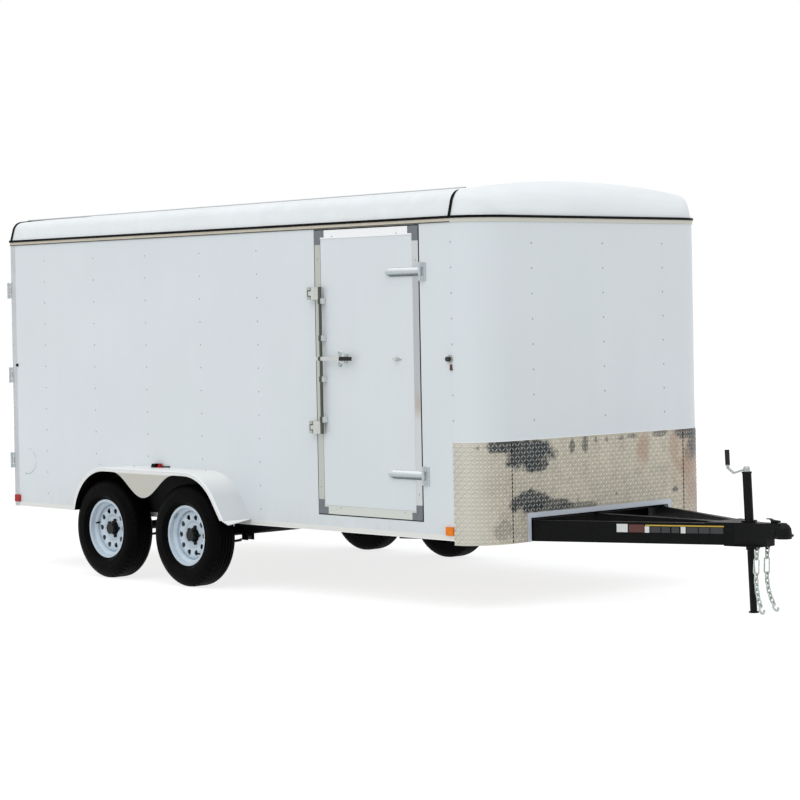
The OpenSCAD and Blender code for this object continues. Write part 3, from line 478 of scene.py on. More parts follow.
def zinc_paints(m):
    """Zinc plating, in general and as the photo shows it on single parts."""
    p = Paint("zinc", linear(196, 198, 200), 0.34, metallic=0.85)
    p.mottle(22, linear(160, 162, 164), 0.6).mottle(60, linear(214, 215, 214), 0.4)
    m["zinc"] = p.vary(30, 0.08).bump(80, 0.0003).done()

    # Lock bar: painted reflection of dark surroundings on the face of the bar, black grip, and saddles as pale as
    # the door
    p = Paint("zinc_lock", linear(204, 206, 202), 0.36, metallic=0.4)
    p.mottle(22, linear(170, 172, 166), 0.6).mottle(60, linear(222, 223, 220), 0.4)
    p.tint(p.within((3490, None, 1040), (3516, -1084, 1975)), linear(74, 78, 66))
    p.tint(p.within((3690, None, LOCK_Z - 13), (3808, None, LOCK_Z + 13)), linear(9, 9, 10))
    for z0, z1 in ((1000, LOCK_Z - 28), (LOCK_Z + 28, 2000)):
        p.tint(p.within((3517, None, z0), (3560, None, z1)), linear(208, 214, 214))
    m["zinc_lock"] = p.vary(30, 0.08).bump(80, 0.0003).done()

    p = Paint("zinc_strap_highlight_shade", linear(188, 197, 199), 0.3, metallic=0.2)
    p.mottle(40, linear(176, 184, 186), 0.25)
    # Painted highlight on faces that look up, and painted shade on faces that look down
    p.tint(p.facing(2, 0.05, 0.6), linear(244, 247, 248)).tint(p.facing(2, -0.1, -0.5), linear(88, 98, 102))
    m["zinc_strap_highlight_shade"] = p.vary(30, 0.05).bump(60, 0.0002).done()

    # Keepers: the hold-back on the wall in front of the side door is dark
    p = Paint("zinc_keeper", linear(176, 179, 170), 0.38, metallic=0.25)
    p.mottle(26, linear(136, 139, 130), 0.6).mottle(70, linear(208, 210, 203), 0.35)
    p.tint(p.within((4600, -HW - 60, None), (4700, -HW - 6, None)), linear(34, 34, 35))
    m["zinc_keeper"] = p.vary(30, 0.08).bump(80, 0.0003).done()

    # Jack crank: the grip at the rear end of its arm is black
    p = Paint("zinc_crank", linear(178, 183, 180), 0.34, metallic=0.35)
    p.tint(p.within((None, None, 864), (5925, None, None)), linear(10, 10, 11))
    m["zinc_crank"] = p.vary(30, 0.08).done()

    p = Paint("chain_zinc", linear(208, 217, 210), 0.34, metallic=0.35)
    p.mottle(60, linear(142, 156, 146), 0.7).mottle(18, linear(160, 152, 128), 0.15, 0.55, 0.8)
    # Painted shade on faces that look down
    p.tint(p.facing(2, -0.2, -0.8), linear(96, 106, 100))
    m["chain_zinc"] = p.vary(40, 0.1).bump(160, 0.0002).done()


def wheel_paints(m):
    """Tyres, rims and hubs."""
    p = Paint("tyre", linear(4, 4, 4), 0.52, specular=0.035)
    p.mottle(16, linear(8, 9, 9), 0.6).mottle(5, linear(24, 23, 21), 0.12, 0.5, 0.8)
    m["tyre"] = p.vary(12, 0.08).bump(120, 0.0004).done()

    p = Paint("rim_white", linear(206, 218, 228), 0.32, specular=0.35)
    p.mottle(12, linear(186, 200, 212), 0.6).mottle(40, linear(176, 178, 174), 0.22, 0.6, 0.8)
    m["rim_white"] = p.vary(14, 0.06).bump(30, 0.0002).done()

    p = Paint("hub_black", linear(10, 12, 13), 0.34, specular=0.2)
    p.mottle(50, linear(30, 34, 36), 0.5)
    m["hub_black"] = p.vary(30, 0.1).bump(90, 0.0003).done()


# Materials: trims, edges, fenders and lamps

# Corners and colour of places on the trim: the lower half of the strip under the seal, dark with painted shadow of
# the seal, that strip round the front, the strip along the walls' bottom in two steps, and the strip round the
# notch
TRIM_SHADOW_AND_TINTS = (((None, None, 2330), (XC, None, 2346.5), (62, 64, 50)),
              ((XC, None, 2330), (None, None, None), (206, 204, 193)),
              ((None, None, None), (XC, None, 460), (226, 226, 222)),
              ((None, None, None), (XC, None, 428), (246, 246, 244)),
              ((4860, None, None), (None, None, 700), (190, 196, 206)))

# x range, z range, softness and colour of the painted reflections on the side door's upright edges: what they
# mirror
EDGE_REFLECTIONS = ((DOOR_X1 - 60, DOOR_X1 + 10, 600, 2262, 1, (204, 207, 208)),
              (DOOR_X1 - 60, DOOR_X1 + 10, 1270, 2080, 60, (150, 154, 158)),
              (DOOR_X1 - 60, DOOR_X1 + 10, 1560, 1700, 90, (176, 180, 182)),
              (DOOR_X1 - 60, DOOR_X1 + 10, 1180, 1300, 40, (176, 166, 152)),
              (DOOR_X0 - 8, DOOR_X0 + 58, 600, 2262, 1, (186, 190, 182)))


def trim_paint():
    """Strip under the seal, with painted shadow along its lower half, paler at the front and along the walls'
    bottom.
    """
    p = Paint("trim_beige", linear(202, 194, 176), 0.42, metallic=0.15)
    p.mottle(3, linear(188, 180, 160), 0.6, stretch=(1, 1, 6)).mottle(24, linear(222, 216, 204), 0.35)
    for lo, hi, colour in TRIM_SHADOW_AND_TINTS:
        p.tint(p.within(lo, hi), linear(*colour))
    return p.vary(14, 0.06).bump(40, 0.0003).done()


def edge_paint():
    """Bare aluminium of the doors' edges, with the side door's sides in the tones that the photo shows."""
    p = Paint("edge_aluminium", linear(196, 200, 203), 0.36, metallic=0.45)
    p.mottle(5, linear(176, 180, 184), 0.7).mottle(60, linear(214, 216, 218), 0.35, stretch=(1, 1, 0.05))
    p.tint(p.within((DOOR_X0 + 40, None, None), (DOOR_X1 - 40, None, 590)), linear(205, 208, 202))
    p.tint(p.within((DOOR_X0 + 40, None, 2270), (DOOR_X1 - 40, None, None)), linear(242, 243, 244))
    # Painted reflections on the side door's upright edges
    for x0, x1, z0, z1, soft, colour in EDGE_REFLECTIONS:
        p.tint(p.within((x0, -1100, z0), (x1, -1000, z1), soft), linear(*colour))
    # Painted shade on the forward face of the side door's front edge, next to the gap
    front_shade = p.within((DOOR_X1 - 2, -1100, None), (DOOR_X1 + 2, -1000, None))
    p.tint(p.both(front_shade, p.facing(0, 0.3, 0.9)), GAP_SHADE)
    return p.vary(18, 0.07).bump(50, 0.0002).done()


def fender_paint():
    """Off-white paint, with painted shade on faces that look forward, greyer on the skirt, black on the inside."""
    p = Paint("fender_white", linear(232, 233, 231), 0.34, specular=0.4)
    p.mottle(3.0, linear(222, 222, 218), 0.5).mottle(18, linear(236, 236, 233), 0.3)
    # Painted shade on faces that look forward
    p.tint(p.facing(0, 0.35, 0.8), linear(204, 208, 210))
    p.tint(p.within((1490, None, None), (2230, -1290, 738), 5), linear(194, 192, 183))
    p.tint(p.facing_in(sum(AXLE_X) / 2 + FENDER_SHIFT, FENDER_Z), linear(14, 14, 15))
    return p.vary(6, 0.06).bump(9, 0.0006).done()


def body_paints(m):
    """Floor, seal, trims, edges, fenders and lamps."""
    p = Paint("floor_wood", linear(176, 142, 98), 0.62)
    p.mottle(5, linear(138, 104, 66), 0.7, stretch=(0.12, 2.2, 1))
    p.mottle(26, linear(196, 164, 120), 0.5, stretch=(0.1, 3, 1))
    m["floor_wood"] = p.vary(12, 0.1).bump(60, 0.0003, (0.1, 3, 1)).done()

    p = Paint("seal_black", linear(8, 8, 9), 0.5, specular=0.06)
    p.mottle(30, linear(18, 18, 19), 0.5)
    m["seal_black"] = p.vary(20, 0.1).bump(50, 0.0010).done()

    m["trim_beige"] = trim_paint()
    m["edge_aluminium"] = edge_paint()
    m["fender_white"] = fender_paint()

    for name, colour, dark in (("lamp_amber", (238, 128, 8), (214, 100, 4)),
                               ("lamp_red", (176, 18, 16), (124, 10, 10))):
        p = Paint(name, linear(*colour), 0.3, specular=0.25)
        m[name] = p.mottle(60, linear(*dark), 0.5).bump(300, 0.0003).done()


def small_paints(m):
    """Paints of the fine pieces, with spots of a second colour."""
    for name, colour, rough, shine, scale, spot, amount in (
            ("screw_grey", (168, 172, 174), 0.4, {"metallic": 0.4}, 40, (132, 134, 136), 0.6),
            ("cap_grey", (112, 118, 121), 0.5, {}, 30, (96, 101, 104), 0.5),
            ("trim_white", (238, 240, 241), 0.35, {}, 12, (222, 224, 226), 0.4),
            ("well_shade_dark", (30, 31, 31), 0.6, {"specular": 0.15}, 8, (44, 44, 42), 0.5),
            ("grip_black", (10, 10, 11), 0.5, {"specular": 0.12}, 40, (24, 24, 25), 0.4),
            ("seam_grey", (196, 200, 203), 0.5, {}, 9, (180, 184, 187), 0.5)):
        m[name] = Paint(name, linear(*colour), rough, **shine).mottle(scale, linear(*spot), amount).done()
    for name, colour in (("label_yellow", (190, 160, 60)), ("label_white", (214, 216, 214)),
                         ("label_brown", (84, 38, 33)), ("label_grey", (40, 42, 44))):
        p = Paint(name, linear(*colour), 0.45)
        m[name] = p.mottle(60, tinted(linear(*colour), 0.8), 0.5).done()


def make_materials():
    """All materials by name."""
    m = {}
    for paints in (sheet_paints, frame_paints, zinc_paints, wheel_paints, body_paints, small_paints):
        paints(m)
    return m


# CAD nodes: finish, soft edges in millimetres, and shading

OWN_PAINT = {"side_door_lock": "zinc_lock", "jack_crank": "zinc_crank", "side_door_straps": "zinc_strap_highlight_shade",
             "hinge_plates": "zinc_strap_highlight_shade", "keepers": "zinc_keeper"}
EDGE_WIDTHS = {"side_door_edge": 2.2, "rear_edge_right": 2.2, "rear_edge_left": 2.2, "side_door_straps": 1.8,
               "side_door_lock": 1.8, "rear_locks_right": 1.8, "rear_locks_left": 1.8, "keepers": 1.5,
               "hinge_plates": 1.5, "tongue": 5, "frame_rails": 5, "coupler": 3, "coupler_latch": 3,
               "jack_tube": 2, "roof_seal": 3, "body_trim": 1.5, "crossmembers": 3, "rear_frame": 2}
WELD = 0.02
BEVEL_ANGLE, SPLIT_ANGLE = 40, 32


def clear_normals(obj):
    """Drop the imported flat normals, so that shading follows the modifiers."""
    normals = obj.data.attributes.get("custom_normal")
    if normals:
        obj.data.attributes.remove(normals)


def finish_nodes(mats):
    """Give each CAD node its paint, and soft edges or split shading."""
    slots = {p["node"]: p["material_slot"] for p in frame["record"]["subparts"]}
    for name, obj in nodes.items():
        clear_normals(obj)
        obj.data.materials.clear()
        obj.data.materials.append(mats[OWN_PAINT.get(name, slots[name])])
        for poly in obj.data.polygons:
            poly.material_index = 0
            poly.use_smooth = True
        weld = obj.modifiers.new("weld", "WELD")
        weld.merge_threshold = WELD * MM
        if name in EDGE_WIDTHS:
            bevel = obj.modifiers.new("bevel", "BEVEL")
            bevel.width = EDGE_WIDTHS[name] * MM
            bevel.segments = 2
            bevel.limit_method = "ANGLE"
            bevel.angle_limit = math.radians(BEVEL_ANGLE)
            bevel.use_clamp_overlap = True
            smooth = obj.modifiers.new("normals", "WEIGHTED_NORMAL")
            smooth.keep_sharp = False
        else:
            split = obj.modifiers.new("split", "EDGE_SPLIT")
            split.split_angle = math.radians(SPLIT_ANGLE)


# Fine pieces: how they are made


class Part:
    """Points and faces gathered into one piece, in millimetres."""

    def __init__(self):
        self.points, self.faces = [], []

    def add(self, points, faces):
        """Points, and faces that count them from 0."""
        k = len(self.points)
        self.points += [at(*p) for p in points]
        self.faces += [[k + i for i in f] for f in faces]

    def box(self, lo, hi):
        """Box between two corners."""
        self.add([(x, y, z) for x in (lo[0], hi[0]) for y in (lo[1], hi[1]) for z in (lo[2], hi[2])],
                 [(0, 1, 3, 2), (4, 6, 7, 5), (0, 4, 5, 1), (2, 3, 7, 6), (0, 2, 6, 4), (1, 5, 7, 3)])

    def prism(self, outline, along):
        """A flat outline drawn out by a vector."""
        n = len(outline)
        far = [[a + b for a, b in zip(p, along)] for p in outline]
        self.add(list(outline) + far, [list(range(n)), list(range(n, 2 * n))[::-1]]
                 + [(i, n + i, n + (i + 1) % n, (i + 1) % n) for i in range(n)])

    def turned(self, centre, axis, profile, n=24, closed=False):
        """Rings of [radius, height] about an axis through centre."""
        axis = Vector(axis).normalized()
        u = axis.orthogonal().normalized()
        v = axis.cross(u)
        c = Vector(centre)
        points = [c + axis * h + (u * math.cos(a) + v * math.sin(a)) * r
                  for r, h in profile for a in (2 * math.pi * i / n for i in range(n))]
        m = len(profile)
        faces = [(k * n + i, k * n + (i + 1) % n, (k + 1) % m * n + (i + 1) % n, (k + 1) % m * n + i)
                 for k in range(m if closed else m - 1) for i in range(n)]
        if not closed:
            faces += [list(range(n))[::-1], [(m - 1) * n + i for i in range(n)]]
        self.add(points, faces)

    def tube(self, path, radius, n=8):
        """Round rod along a path of points."""
        path = [Vector(p) for p in path]
        u = (path[1] - path[0]).orthogonal().normalized()
        points = []
        for i, p in enumerate(path):
            t = (path[min(i + 1, len(path) - 1)] - path[max(i - 1, 0)]).normalized()
            u = (u - t * u.dot(t)).normalized()
            v = t.cross(u)
            points += [p + (u * math.cos(a) + v * math.sin(a)) * radius
                       for a in (2 * math.pi * k / n for k in range(n))]
        faces = [(i * n + k, i * n + (k + 1) % n, (i + 1) * n + (k + 1) % n, (i + 1) * n + k)
                 for i in range(len(path) - 1) for k in range(n)]
        self.add(points, faces + [list(range(n))[::-1], [len(points) - n + k for k in range(n)]])

    def head(self, place, normal, r=6, h=2.2, n=8):
        """Low domed screw head."""
        self.turned(place, normal, [(r, -0.5), (r * 0.92, h * 0.5), (r * 0.5, h)], n)

    def piece(self, name, mat, slot, body="trailer", angle=38):
        """Make the piece, with its material and the body that it rides on; its slot is not used."""
        mesh = bpy.data.meshes.new(name)
        mesh.from_pydata(self.points, [], self.faces)
        bm = bmesh.new()
        bm.from_mesh(mesh)
        bmesh.ops.recalc_face_normals(bm, faces=bm.faces)
        bm.to_mesh(mesh)
        bm.free()
        for poly in mesh.polygons:
            poly.use_smooth = True
        mesh.materials.append(mat)
        obj = bpy.data.objects.new(name, mesh)
        bpy.context.scene.collection.objects.link(obj)
        split = obj.modifiers.new("split", "EDGE_SPLIT")
        split.split_angle = math.radians(angle)
        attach(obj, body)
        return obj


# Fine pieces: walls and tread plate

SCREW_TOP, SCREW_PITCH, SCREW_ROWS = 2222, 153.7, 12
REAR_COLUMN, FIRST_POST, POST_PITCH = 16, 425, 604.5
# Posts behind the right wall (-1), as far as the side door, and behind the left wall (1)
POSTS = {-1: 5, 1: 7}
FRONT_POSTS, FRONT_TOP, FRONT_ROWS = (-582, 55, 617), 2211, 8
WHEELS_X0, WHEELS_X1, GUARD_X = 920, 2760, 4600
BUFFER_X, BUFFER_Z = 65, 1461

TREAD_PITCH, TREAD_ROWS, TREAD_OUT = 25.0, 24, 3.05
LOZENGE_L, LOZENGE_W, LOZENGE_H = 30.0, 9.2, 1.9
LEAN = math.sqrt(0.5)
SEAM_Y = 786
BEAD_OUT, BEAD_T, BEAD_STEP = 3.3, 3.0, 12


def plan_points(out, step):
    """Places and normals along the front's outline, from the right seam round to the left, drawn out."""
    n = 400

    def corner(yc, start):
        """Quarter of an ellipse round a front corner."""
        for i in range(n + 1):
            a = math.radians(start + 90 * i / n)
            yield XC + (CORNER_X + out) * math.cos(a), yc + (CORNER_Y + out) * math.sin(a)

    path = list(corner(-YC, -90)) + [(BODY_L + out, YC * (2 * i / n - 1)) for i in range(1, n)]
    path += corner(YC, 0)
    found, run, want = [], 0.0, 0.0
    for p, q in zip(path, path[1:]):
        leg = math.dist(p, q)
        if leg and run + leg >= want:
            found.append((p[0], p[1], (q[1] - p[1]) / leg, -(q[0] - p[0]) / leg))
            want += step
        run += leg
    return found


def wall_screws(mats):
    """Rows of screws up the side walls and the front wall, one column at each post."""
    part = Part()
    for side, posts in POSTS.items():
        for x in [REAR_COLUMN] + [FIRST_POST + POST_PITCH * k for k in range(posts)] + [XC - 1]:
            for z in [SCREW_TOP - SCREW_PITCH * i for i in range(SCREW_ROWS)]:
                over_wheel = WHEELS_X0 < x < WHEELS_X1 and z < FENDER_TOP + 12
                at_guard = x > GUARD_X and z < GUARD_Z1 + 10
                if not over_wheel and not at_guard:
                    part.head((x, side * HW, z), (0, side, 0), 4 if x == REAR_COLUMN else 5.5)
    for y in FRONT_POSTS:
        for i in range(FRONT_ROWS):
            part.head((BODY_L, y, FRONT_TOP - SCREW_PITCH * i), (1, 0, 0))
    part.piece("wall_screws", mats["screw_grey"], "zinc")


def door_buffers(mats):
    """Round rubber buffer near each rear corner, for the open rear door."""
    buffer = Part()
    for side in (-1, 1):
        buffer.turned((BUFFER_X, side * HW, BUFFER_Z), (0, side, 0), [(11, -0.5), (11, 9), (8, 12)], 16)
    buffer.piece("door_buffers", mats["grip_black"], "seal_black")


def lozenge(part, x, y, z, normal, lean):
    """A raised lozenge of the tread plate at 45 degrees. The sign of lean says which way it leans."""
    nx, ny = normal

    def spot(a, b, h):
        s, t = a * LEAN - b * lean, a * lean + b * LEAN
        return x - ny * s + nx * h, y + nx * s + ny * h, z + t

    a, b, ridge = LOZENGE_L / 2, LOZENGE_W / 2, LOZENGE_L / 2 * 0.45
    part.add([spot(-a, 0, 0), spot(0, -b, 0), spot(a, 0, 0), spot(0, b, 0),
              spot(-ridge, 0, LOZENGE_H), spot(ridge, 0, LOZENGE_H)],
             [(0, 1, 4), (1, 5, 4), (1, 2, 5), (2, 3, 5), (3, 4, 5), (3, 0, 4)])


def guard_tread(mats):
    """Raised lozenges of the tread plate, laid in rows that lean both ways in turn."""
    part = Part()
    for i, (x, y, nx, ny) in enumerate(plan_points(TREAD_OUT, TREAD_PITCH)):
        for j in range(TREAD_ROWS):
            z = GUARD_Z0 + 19 + j * TREAD_PITCH
            in_notch = abs(y) < NOTCH_Y + 34 and x > XC + 60 and z < NOTCH_Z + 38
            if not in_notch:
                lozenge(part, x, y, z, (nx, ny), LEAN if (i + j) % 2 else -LEAN)
    part.piece("guard_tread", mats["tread_raised_highlight"], "tread_plate", angle=60)


def guard_seams(mats):
    """Joints between the tread plate's sheets: a dark line with a dash at each row of lozenges."""
    seam = Part()
    for y in (-SEAM_Y, SEAM_Y):
        seam.box((BODY_L + 1, y - 1, GUARD_Z0 + 1), (BODY_L + 3.3, y + 1, GUARD_Z1 - 1))
        for j in range(TREAD_ROWS):
            z = GUARD_Z0 + 12 + j * TREAD_PITCH
            dash = [(y - 4, z), (y + 2, z - 4), (y + 5, z + 9), (y - 2, z + 13)]
            seam.prism([(BODY_L + 1, *p) for p in dash], (3.2, 0, 0))
    seam.piece("guard_seams", mats["seal_black"], "seal_black")


def guard_bead(mats):
    """White bead along the tread plate's upper edge."""
    path = plan_points(BEAD_OUT, BEAD_STEP)
    outer = [(x, y) for x, y, _, _ in path]
    inner = [(x - nx * BEAD_T, y - ny * BEAD_T) for x, y, nx, ny in path]
    n = len(path)
    faces = [(0, 2 * n, 3 * n, n), (n - 1, 2 * n - 1, 4 * n - 1, 3 * n - 1)]
    for i in range(n - 1):
        for a, b in ((0, 2 * n), (2 * n, 3 * n), (n, 0), (3 * n, n)):
            faces.append((a + i, a + i + 1, b + i + 1, b + i))
    points = [(x, y, z) for z in (GUARD_Z1 - 1, GUARD_Z1 + 3) for line in (outer, inner) for x, y in line]
    bead = Part()
    bead.add(points, faces)
    bead.piece("guard_bead", mats["trim_white"], "skin_white")


# Fine pieces: doors

CAP_ARM, CAP_END, CAP_WAIST, CAP_T, CAP_OVER = 92, 46, 55, 1.4, 0.3
SKIN_OUT = 0.3
WING_X, WING_OFF, WING_R = 3655, 34, 17
LOCK_PLATE = ((4140, 0), (4164, 10), (4206, 10), (4224, 0), (4206, -10), (4164, -10))
TAB_X, TAB_Z, TAB = 4662, 1450, ((-10, 0), (10, 0), (6, 36), (-6, 36))
SCREW_IN = 27
SIDE_SCREWS = ((DOOR_X0 + 170, DOOR_Z1 - 42), (DOOR_X0 + 768, DOOR_Z1 - 42), (DOOR_X0 + 210, DOOR_Z0 + 43),
               (DOOR_X0 + 805, DOOR_Z0 + 43), (DOOR_X0 + SCREW_IN, 2152), (DOOR_X0 + SCREW_IN, 702),
               (DOOR_X1 - SCREW_IN, 2120), (DOOR_X1 - SCREW_IN, 690))
# Screws of a rear door's edge: y and z, along its lower and upper side and then up both others
REAR_SCREWS = [(150 + 140 * i, z) for z in (REAR_Z0 + SCREW_IN, REAR_Z1 - SCREW_IN) for i in range(6)]
REAR_SCREWS += [(y, REAR_Z0 + 130 + 182 * i)
                for y in (REAR_Y0 + SCREW_IN, REAR_Y1 - SCREW_IN) for i in range(9)]


def corner_cap(part, centre, u, w, out):
    """L-shaped cap in a corner, with its arms along u and w and its face toward out."""
    c, u, w = Vector(centre), Vector(u), Vector(w)
    outline = [(0, 0), (CAP_ARM, 0), (CAP_ARM, CAP_END), (CAP_WAIST, CAP_END), (CAP_WAIST, CAP_ARM),
               (0, CAP_ARM)]
    part.prism([c + u * a + w * b for a, b in outline], Vector(out) * CAP_T)


def lock_details(mats):
    """Wings of the side door's hasp, a small plate further forward, and a tab under the hold-back."""
    y = -HW - SKIN_OUT
    wings = Part()
    profile = [(WING_R, SKIN_OUT), (WING_R, 5), (15, 7), (8, 7), (7, 3.6)]
    for z in (LOCK_Z - WING_OFF, LOCK_Z + WING_OFF):
        wings.turned((WING_X, -HW, z), (0, -1, 0), profile, 20)
    wings.box((WING_X - 9, y - 5, LOCK_Z - 30), (WING_X + 9, y, LOCK_Z + 30))
    wings.prism([(x, y, LOCK_Z + up) for x, up in LOCK_PLATE], (0, -4, 0))
    wings.piece("lock_wings", mats["zinc_strap_highlight_shade"], "zinc", "side_leaf")
    tab = Part()
    tab.prism([(TAB_X + dx, y, TAB_Z + up) for dx, up in TAB], (0, -7, 0))
    tab.piece("catch_tab", mats["label_brown"], "lamp_red")


def side_door_details(mats):
    """Corner caps and screws of the side door's edge."""
    face = -HW - EDGE_OUT
    caps, screws = Part(), Part()
    for x, u in ((DOOR_X0 - CAP_OVER, 1), (DOOR_X1 + CAP_OVER, -1)):
        for z, w in ((DOOR_Z0 - CAP_OVER, 1), (DOOR_Z1 + CAP_OVER, -1)):
            corner_cap(caps, (x, face, z), (u, 0, 0), (0, 0, w), (0, -1, 0))
    for x, z in SIDE_SCREWS:
        screws.head((x, face, z), (0, -1, 0), 5)
    caps.piece("side_door_caps", mats["cap_grey"], "edge_aluminium", "side_leaf")
    screws.piece("side_door_screws", mats["screw_grey"], "zinc", "side_leaf")


def rear_door_details(mats, side, name):
    """Corner caps and screws of one rear door's edge."""
    caps, screws = Part(), Part()
    for y, u in ((REAR_Y0 - CAP_OVER, 1), (REAR_Y1 + CAP_OVER, -1)):
        for z, w in ((REAR_Z0 - CAP_OVER, 1), (REAR_Z1 + CAP_OVER, -1)):
            corner_cap(caps, (-EDGE_OUT, side * y, z), (0, side * u, 0), (0, 0, w), (-1, 0, 0))
    for y, z in REAR_SCREWS:
        screws.head((-EDGE_OUT, side * y, z), (-1, 0, 0), 4.5)
    caps.piece("rear_caps_" + name, mats["cap_grey"], "edge_aluminium", "rear_leaf_" + name)
    screws.piece("rear_screws_" + name, mats["screw_grey"], "zinc", "rear_leaf_" + name)


# Fine pieces: wheels

# One block of the tread: places along its pitch, with 1 where the shoulder's notch is cut
PITCHES, BLOCK = 48, ((0.0, 0), (0.62, 0), (0.70, 1), (0.92, 1))
GROOVE, NOTCH = 7, 3.0
SHOULDER_H, SHOULDER_W = 78, 57
# Radius and distance from the wheel's middle plane
VALVE, VALVE_R, VALVE_TIP = ((158, 16), (152, 34), (146, 52)), 5.5, ((146, 52), (144, 58))
HUB_PLATE, HUB_PLATE_AT = ((50, 0), (50, 1.5), (46, 4), (30, 4)), 4.5
DARK_RING = ((92, -26), (152, -26), (152, -28), (92, -28))
# Balance weights: turns from the valve, distance in from the rim's radius, and place and depth across the rim
WEIGHTS, WEIGHT_SPAN, WEIGHT_IN, WEIGHT_W, WEIGHT_DEPTH = (183, 188, 193), 4, (7.2, 11), 63, 22
VALVE_AT = {"rear_right": 168, "front_right": -52, "rear_left": 40, "front_left": 200}


def wheel_place(name):
    """Side of a wheel, -1 for right and 1 for left, and the x of its axle."""
    return -1 if name.endswith("right") else 1, AXLE_X[0 if name.startswith("rear") else 1]


def tyre_profile():
    """The tyre's section from one bead over the tread to the other.

    Each point has its radius, its distance from the middle plane, and 1 where the shoulder is notched.
    """
    bead = [(0.4, RIM_W / 2 - 9), (12, RIM_W / 2 + 1), (22, RIM_W / 2 + 4), (29, TYRE_W / 2 - 15),
            (33, TYRE_W / 2 - 10), (40, TYRE_W / 2 - 5), (43, TYRE_W / 2 - 3), (46, TYRE_W / 2 - 3),
            (49, TYRE_W / 2 - 3.6)]
    half = [(RIM_R + r, w, 0) for r, w in bead]
    for i in range(11):
        a = math.radians(2 + i * 7.6)
        r, w = TYRE_R - SHOULDER_H * (1 - math.sin(a)), TYRE_W / 2 - SHOULDER_W * (1 - math.cos(a))
        half.append((r, w, 1 if i in (7, 8, 9) else 0))
    tread = [(1, 46), (0, 42), (0, 40), (GROOVE, 38.5), (GROOVE, 33.5), (0, 32), (0, 20), (0, 17),
             (GROOVE, 15.5), (GROOVE, 10.5), (0, 9)]
    half += [(TYRE_R - deep, w, 0) for deep, w in tread]
    return half + [(r, -w, notched) for r, w, notched in reversed(half)]


def tyre_skin(name, mats):
    """Tyre with grooves round the tread, notched shoulders and rings on the sidewalls."""
    side, x = wheel_place(name)
    profile = tyre_profile()
    turns = [((k + f) / PITCHES, low) for k in range(PITCHES) for f, low in BLOCK]
    points, faces = [], []
    for r, w, notched in profile:
        for turn, low in turns:
            a = 2 * math.pi * turn
            d = r - NOTCH * notched * low
            points.append((x + d * math.cos(a), side * (TRACK_Y + w), AXLE_Z + d * math.sin(a)))
    n, m = len(turns), len(profile)
    for k in range(m):
        for i in range(n):
            j, far = (i + 1) % n, (k + 1) % m * n
            faces.append((k * n + i, k * n + j, far + j, far + i))
    part = Part()
    part.add(points, faces)
    obj = part.piece("tyre_skin_" + name, mats["tyre"], "tyre", "wheel_" + name, angle=42)
    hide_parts("tyre_" + name)


def wheel_details(name, mats):
    """Valve, hub plate and the dark ring behind the rim's holes in one piece, and the balance weights."""
    side, x = wheel_place(name)
    valve_at = VALVE_AT[name]

    def spot(deg, r, w):
        a = math.radians(deg)
        return x + r * math.cos(a), side * (TRACK_Y + w), AXLE_Z + r * math.sin(a)

    part = Part()
    part.tube([spot(valve_at, r, w) for r, w in VALVE], VALVE_R)
    part.tube([spot(valve_at, r, w) for r, w in VALVE_TIP], 4)
    part.turned((x, side * (TRACK_Y + HUB_PLATE_AT), AXLE_Z), (0, side, 0), HUB_PLATE, 36)
    part.turned((x, side * TRACK_Y, AXLE_Z), (0, side, 0), DARK_RING, 32, closed=True)
    part.piece("valve_" + name, mats["seal_black"], "seal_black", "wheel_" + name)
    part = Part()
    outer, inner = (RIM_R - inset for inset in WEIGHT_IN)
    for turn in WEIGHTS:
        a, b = valve_at + turn, valve_at + turn + WEIGHT_SPAN
        part.prism([spot(t, r, WEIGHT_W) for t, r in ((a, outer), (b, outer), (b, inner), (a, inner))],
                   (0, -side * WEIGHT_DEPTH, 0))
    part.piece("weights_" + name, mats["zinc"], "zinc", "wheel_" + name)


# Fine pieces: fenders

LAMP_BASE = ((1712, 0.5), (1762, 0.5), (1762, 26), (1722, 26))
LEAD = ((1752, 19, 8), (1790, 16, 7), (1850, 10, 7), (1880, -2, 9))
FENDER_SCREWS = (1100, 1500, 1900, 2300)
# Foot, front end and thickness of the dark sheet of painted shade in the wheel wells, and the radius of the
# fenders' rolled edges
SHADE_FOOT, SHADE_X1, SHADE_T, ROD_R = 425, 2560, 1.6, 6
SCUFF_AT, SCUFF_RADII = (165, 757), (118, 98)


def fender_line(r):
    """The fender's outline at the distance r from the wheels' middles, from the rear end to the front one."""
    rear, front = (x + FENDER_SHIFT for x in AXLE_X)
    start = 180 - math.degrees(math.asin(FENDER_RISE / r))
    turns = [(rear, start + (90 - start) * i / 18) for i in range(19)]
    turns += [(front, 90 - (90 - LIP_TURN) * i / 12) for i in range(13)]
    line = [(x + r * math.cos(math.radians(a)), FENDER_Z + r * math.sin(math.radians(a))) for x, a in turns]
    a = math.radians(LIP_TURN)
    line.append((line[-1][0] + LIP_L * math.sin(a), line[-1][1] - LIP_L * math.cos(a)))
    return line


def wheel_wells(mats):
    """Dark sheet of painted shade on the walls under the fenders, and the rolled edge along each fender."""
    shade_sheet, edge = Part(), Part()
    for side in (-1, 1):
        y = side * (HW + 0.4)
        under = fender_line(FENDER_R - 5)
        under += [(SHADE_X1, SHADE_FOOT), (under[0][0] + 4, SHADE_FOOT)]
        shade_sheet.prism([(x, y, z) for x, z in under], (0, side * SHADE_T, 0))
        edge.tube([(x, side * (FENDER_Y - 4), z) for x, z in fender_line(FENDER_R - 3)], ROD_R)
    shade_sheet.piece("wheel_well_shade", mats["well_shade_dark"], "frame_black")
    edge.piece("fender_edges", mats["trim_white"], "fender_white", angle=60)


